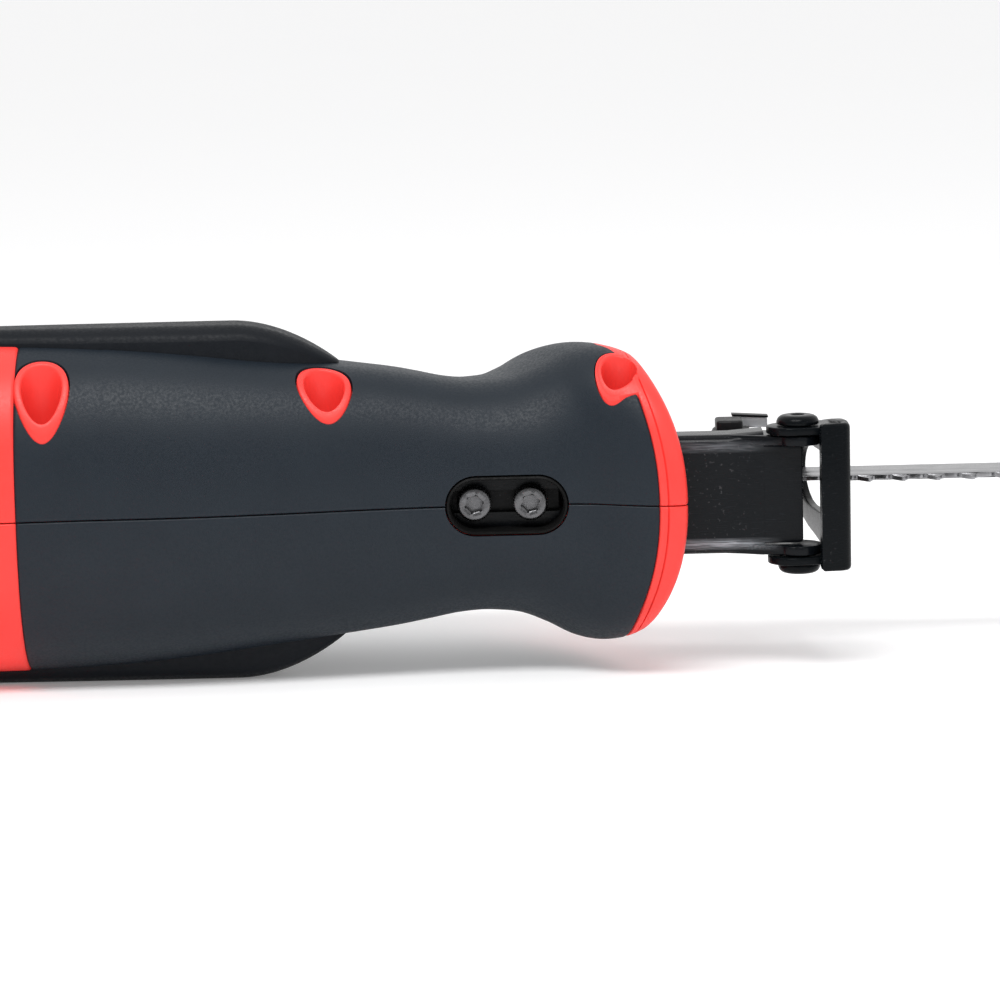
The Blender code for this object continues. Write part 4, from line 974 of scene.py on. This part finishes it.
def bladeClamp():
    spindle, ahead = (0, 0, 0), (1, 0, 0)
    holder = [(5.3, 0), (5.3, 9.6), (19, 9.6), (19, 11.2), (20.4, 11.4), (23.4, 10.9), (24.5, 9.8), (24.5, 0)]
    mesh = meshFrom("blade_holder_fine", *turned(rounded(holder, 0.4, 4), spindle, ahead, 96))
    slit = prism([(6.7, -0.9), (30, -0.9), (30, 0.9), (6.7, 0.9)], -6.3, 6.3, "Y")
    piece("blade_holder_fine", carved(mesh, [slit]), finishes["steel"], "plunger", ("blade_holder",),
          40)
    collar = [(8, 9.9), (8, 12.2), (9, 13), (17.4, 13), (18.5, 12.0), (18.5, 9.9)]
    grid = turned(rounded(collar, 0.5, 4), spindle, ahead, 144, gripRibs(40, 0.25))[0]
    rows = len(grid) // 144
    grid = grid.reshape(rows, 144, 3)
    ring = meshFrom("collar", grid.reshape(-1, 3), gridFaces(rows, 144).tolist() + ringCap(grid))
    lug = sheetMesh("lug", roundedLoop([(9, -4.5), (16, -4.5), (16, 4.5), (9, 4.5)], 1.4), [], 4.4, 0.6,
                    lambda a, b, c: np.stack([a, b, 13.1 + c], -1))
    piece("clamp_collar_fine", joined("clamp_collar_fine", [ring, lug]), finishes["black_plastic"],
          "release_collar", ("clamp_collar",), 40)
    arm = roundedLoop([(14.5, 12.1), (23, 12.1), (23, 14.8), (14.5, 15.3)], 0.5)
    # cap: a thin dark strip along the arm's upper edge, painted shade where that edge turns away from the light
    cap = roundedLoop([(13.6, 15.2), (23.2, 14.7), (23.2, 15.2), (13.6, 15.8)], 0.2)
    across = lambda a, b, c: np.stack([a, 6.5 + c, b], -1)
    arm = sheetMesh("release_arm_fine", arm, [], 3.0, 0.35, across)
    cap = sheetMesh("release_arm_shade_strip", cap, [], 3.6, 0.1, across)
    piece("release_arm_shade_strip", cap, finishes["oxide"], "release_collar", ("release_arm",))
    piece("release_arm_fine", arm, finishes["alloy"], "release_collar", ("release_arm",))
    # spring: wire of round section wound along the axis
    wire = spring["wire"]
    spots, around = np.meshgrid(np.linspace(0, 1, 160), np.linspace(0, 2 * math.pi, 10, endpoint=False),
                                indexing="ij")
    heading = 2 * math.pi * spring["turns"] * spots
    radius = spring["radius"] + wire * np.cos(around)
    x = spring["start"] + spring["length"] * spots + wire * np.sin(around)
    coil = np.stack([x, radius * np.cos(heading), radius * np.sin(heading)], -1)
    piece("clamp_spring_fine", meshFrom("clamp_spring_fine", *tubeOf(coil)), finishes["steel"], "plunger",
          ("clamp_spring",), 60)
    roundPiece("plunger_bar", [(-30, 0), (-30, 7), (4.2, 7), (5, 6.2), (5, 0)], spindle, ahead, "steel",
               "plunger", (), 0.3)


sawBlade()
bladeClamp()
print("blade and clamp made")


def controls():
    outline = [(-359, -4), (-351, -4.5), (-346.5, -10), (-345.2, -17), (-346, -25), (-349, -33), (-353, -40),
               (-360, -45), (-366, -44), (-368.5, -34), (-369, -20), (-366, -8)]
    mesh = sheetMesh("trigger_fine", roundedLoop(outline, 4, 5), [], 13.2, 1.6,
                     lambda a, b, c: np.stack([a, b, c], -1))
    piece("trigger_fine", mesh, finishes["black_plastic"], "trigger", ("trigger",), 50)
    roundPiece("lock_button_fine", [(19.6, 0), (19.4, 2.2), (19.6, 4), (18.6, 5), (9, 5), (9, 0)],
               (-372, -2, 0), (0, 0, -1), "red", "lock_button", ("lock_button",), 0.4, 72)
    ridges = lambda along, angle, radius: radius - 0.5 * np.abs(np.sin(15 * angle)) ** 0.6 * (radius > 11.0)
    roundPiece("speed_dial_fine", [(-3.8, 0), (-3.8, 10.4), (-3.1, 11.5), (3.1, 11.5), (3.8, 10.4), (3.8, 0)],
               (-326, 27, 0), (0, 0, 1), "red", "speed_dial", ("speed_dial",), 0.3, 180, ridges)
    turn = math.radians(233)
    gland = [(0, 3.6), (0, 7.4), (8, 7.4), (8, 6.1), (17, 5.9), (18.3, 7.4), (20.6, 7.5), (22, 6.6), (22, 3.6)]
    grid, faces = turned(rounded(gland, 0.6, 4), (-372, -84, 0), (math.cos(turn), math.sin(turn), 0), 96,
                         lambda along, angle, radius: radius - 0.35 * (np.sin(along * 1.9) > 0.2) *
                         ((along > 9) & (along < 17) & (radius > 5)))
    grid = grid.reshape(-1, 96, 3)
    mesh = meshFrom("cord_gland_fine", grid.reshape(-1, 3), gridFaces(len(grid), 96).tolist() + ringCap(grid))
    piece("cord_gland_fine", mesh, finishes["black_plastic"], "frame", ("cord_gland",), 40)


controls()
print("controls made")


stage = {"floor": (0.93, 0.93, 0.935), "patch": (0.94, 0.94, 0.945), "glow": 0.16, "reach": 9.0,
         "behind": 1.0, "front": 0.4}
lights = {  # place, aim, size, power
    "key": ((-0.05, -0.55, 0.95), (-0.02, 0.0, 0.05), (0.8, 0.35), 9.0),
    "fill": ((0.9, -1.0, 0.45), (0.0, 0.0, 0.05), (0.6, 0.6), 1.0),
}


def studio():
    material, tree, shader, spots = nodeKit("floor")
    cloud = noise(tree, spots, 400.0, 2.0)
    pale = mixed(tree, cloud, stage["floor"], stage["patch"])
    tree.links.new(pale, shader.inputs["Base Color"])
    shader.inputs["Roughness"].default_value = 0.8
    shader.inputs["Emission Color"].default_value = (1, 1, 1, 1)
    shader.inputs["Emission Strength"].default_value = stage["glow"]
    low, far = cadBox[0].z, stage["reach"]
    sheet = bpy.data.meshes.new("floor")
    sheet.from_pydata([(-far, -far, low), (far, -far, low), (far, far, low), (-far, far, low)], [],
                      [(0, 1, 2, 3)])
    sheet.materials.append(material)
    floor = linked("floor", sheet)
    world = bpy.data.worlds.new("studio")
    world.use_nodes = True
    tree = world.node_tree
    heading = tree.nodes.new("ShaderNodeTexCoord").outputs["Generated"]
    parts = tree.nodes.new("ShaderNodeSeparateXYZ")
    tree.links.new(heading, parts.inputs[0])
    level = ranged(tree, parts.outputs["Y"], -0.6, 0.1, stage["front"], stage["behind"])
    tree.nodes["Background"].inputs["Color"].default_value = (1, 1, 1, 1)
    tree.links.new(level, tree.nodes["Background"].inputs["Strength"])
    bpy.context.scene.world = world
    for name, (spot, aim, size, power) in lights.items():
        light = bpy.data.lights.new(name, "AREA")
        light.shape = "RECTANGLE"
        light.size, light.size_y = size
        light.energy = power
        lamp = linked(name, light)
        lamp.location = spot
        lamp.rotation_euler = (Vector(aim) - Vector(spot)).to_track_quat("-Z", "Y").to_euler()
        lamp.visible_camera = False


view = {"target": (-48.0, 0.0, -4.9), "elevation": 9.0, "roll": 1.35, "distance": 1.097, "lens": 150.0}


def camera():
    data = bpy.data.cameras.new("camera")
    data.lens = view["lens"]
    data.sensor_width = 36.0
    data.clip_start = 0.01
    shot = linked("camera", data)
    target = Vector(place(view["target"]))
    up = math.radians(view["elevation"])
    ahead = Vector((0, math.cos(up), -math.sin(up)))
    turn = ahead.to_track_quat("-Z", "Y") @ Matrix.Rotation(math.radians(-view["roll"]), 3, "Z").to_quaternion()
    shot.rotation_mode = "QUATERNION"
    shot.rotation_quaternion = turn
    shot.location = target - ahead * view["distance"]
    bpy.context.scene.camera = shot


studio()
camera()
bpy.context.scene.view_settings.view_transform = "Standard"
print("stage made")
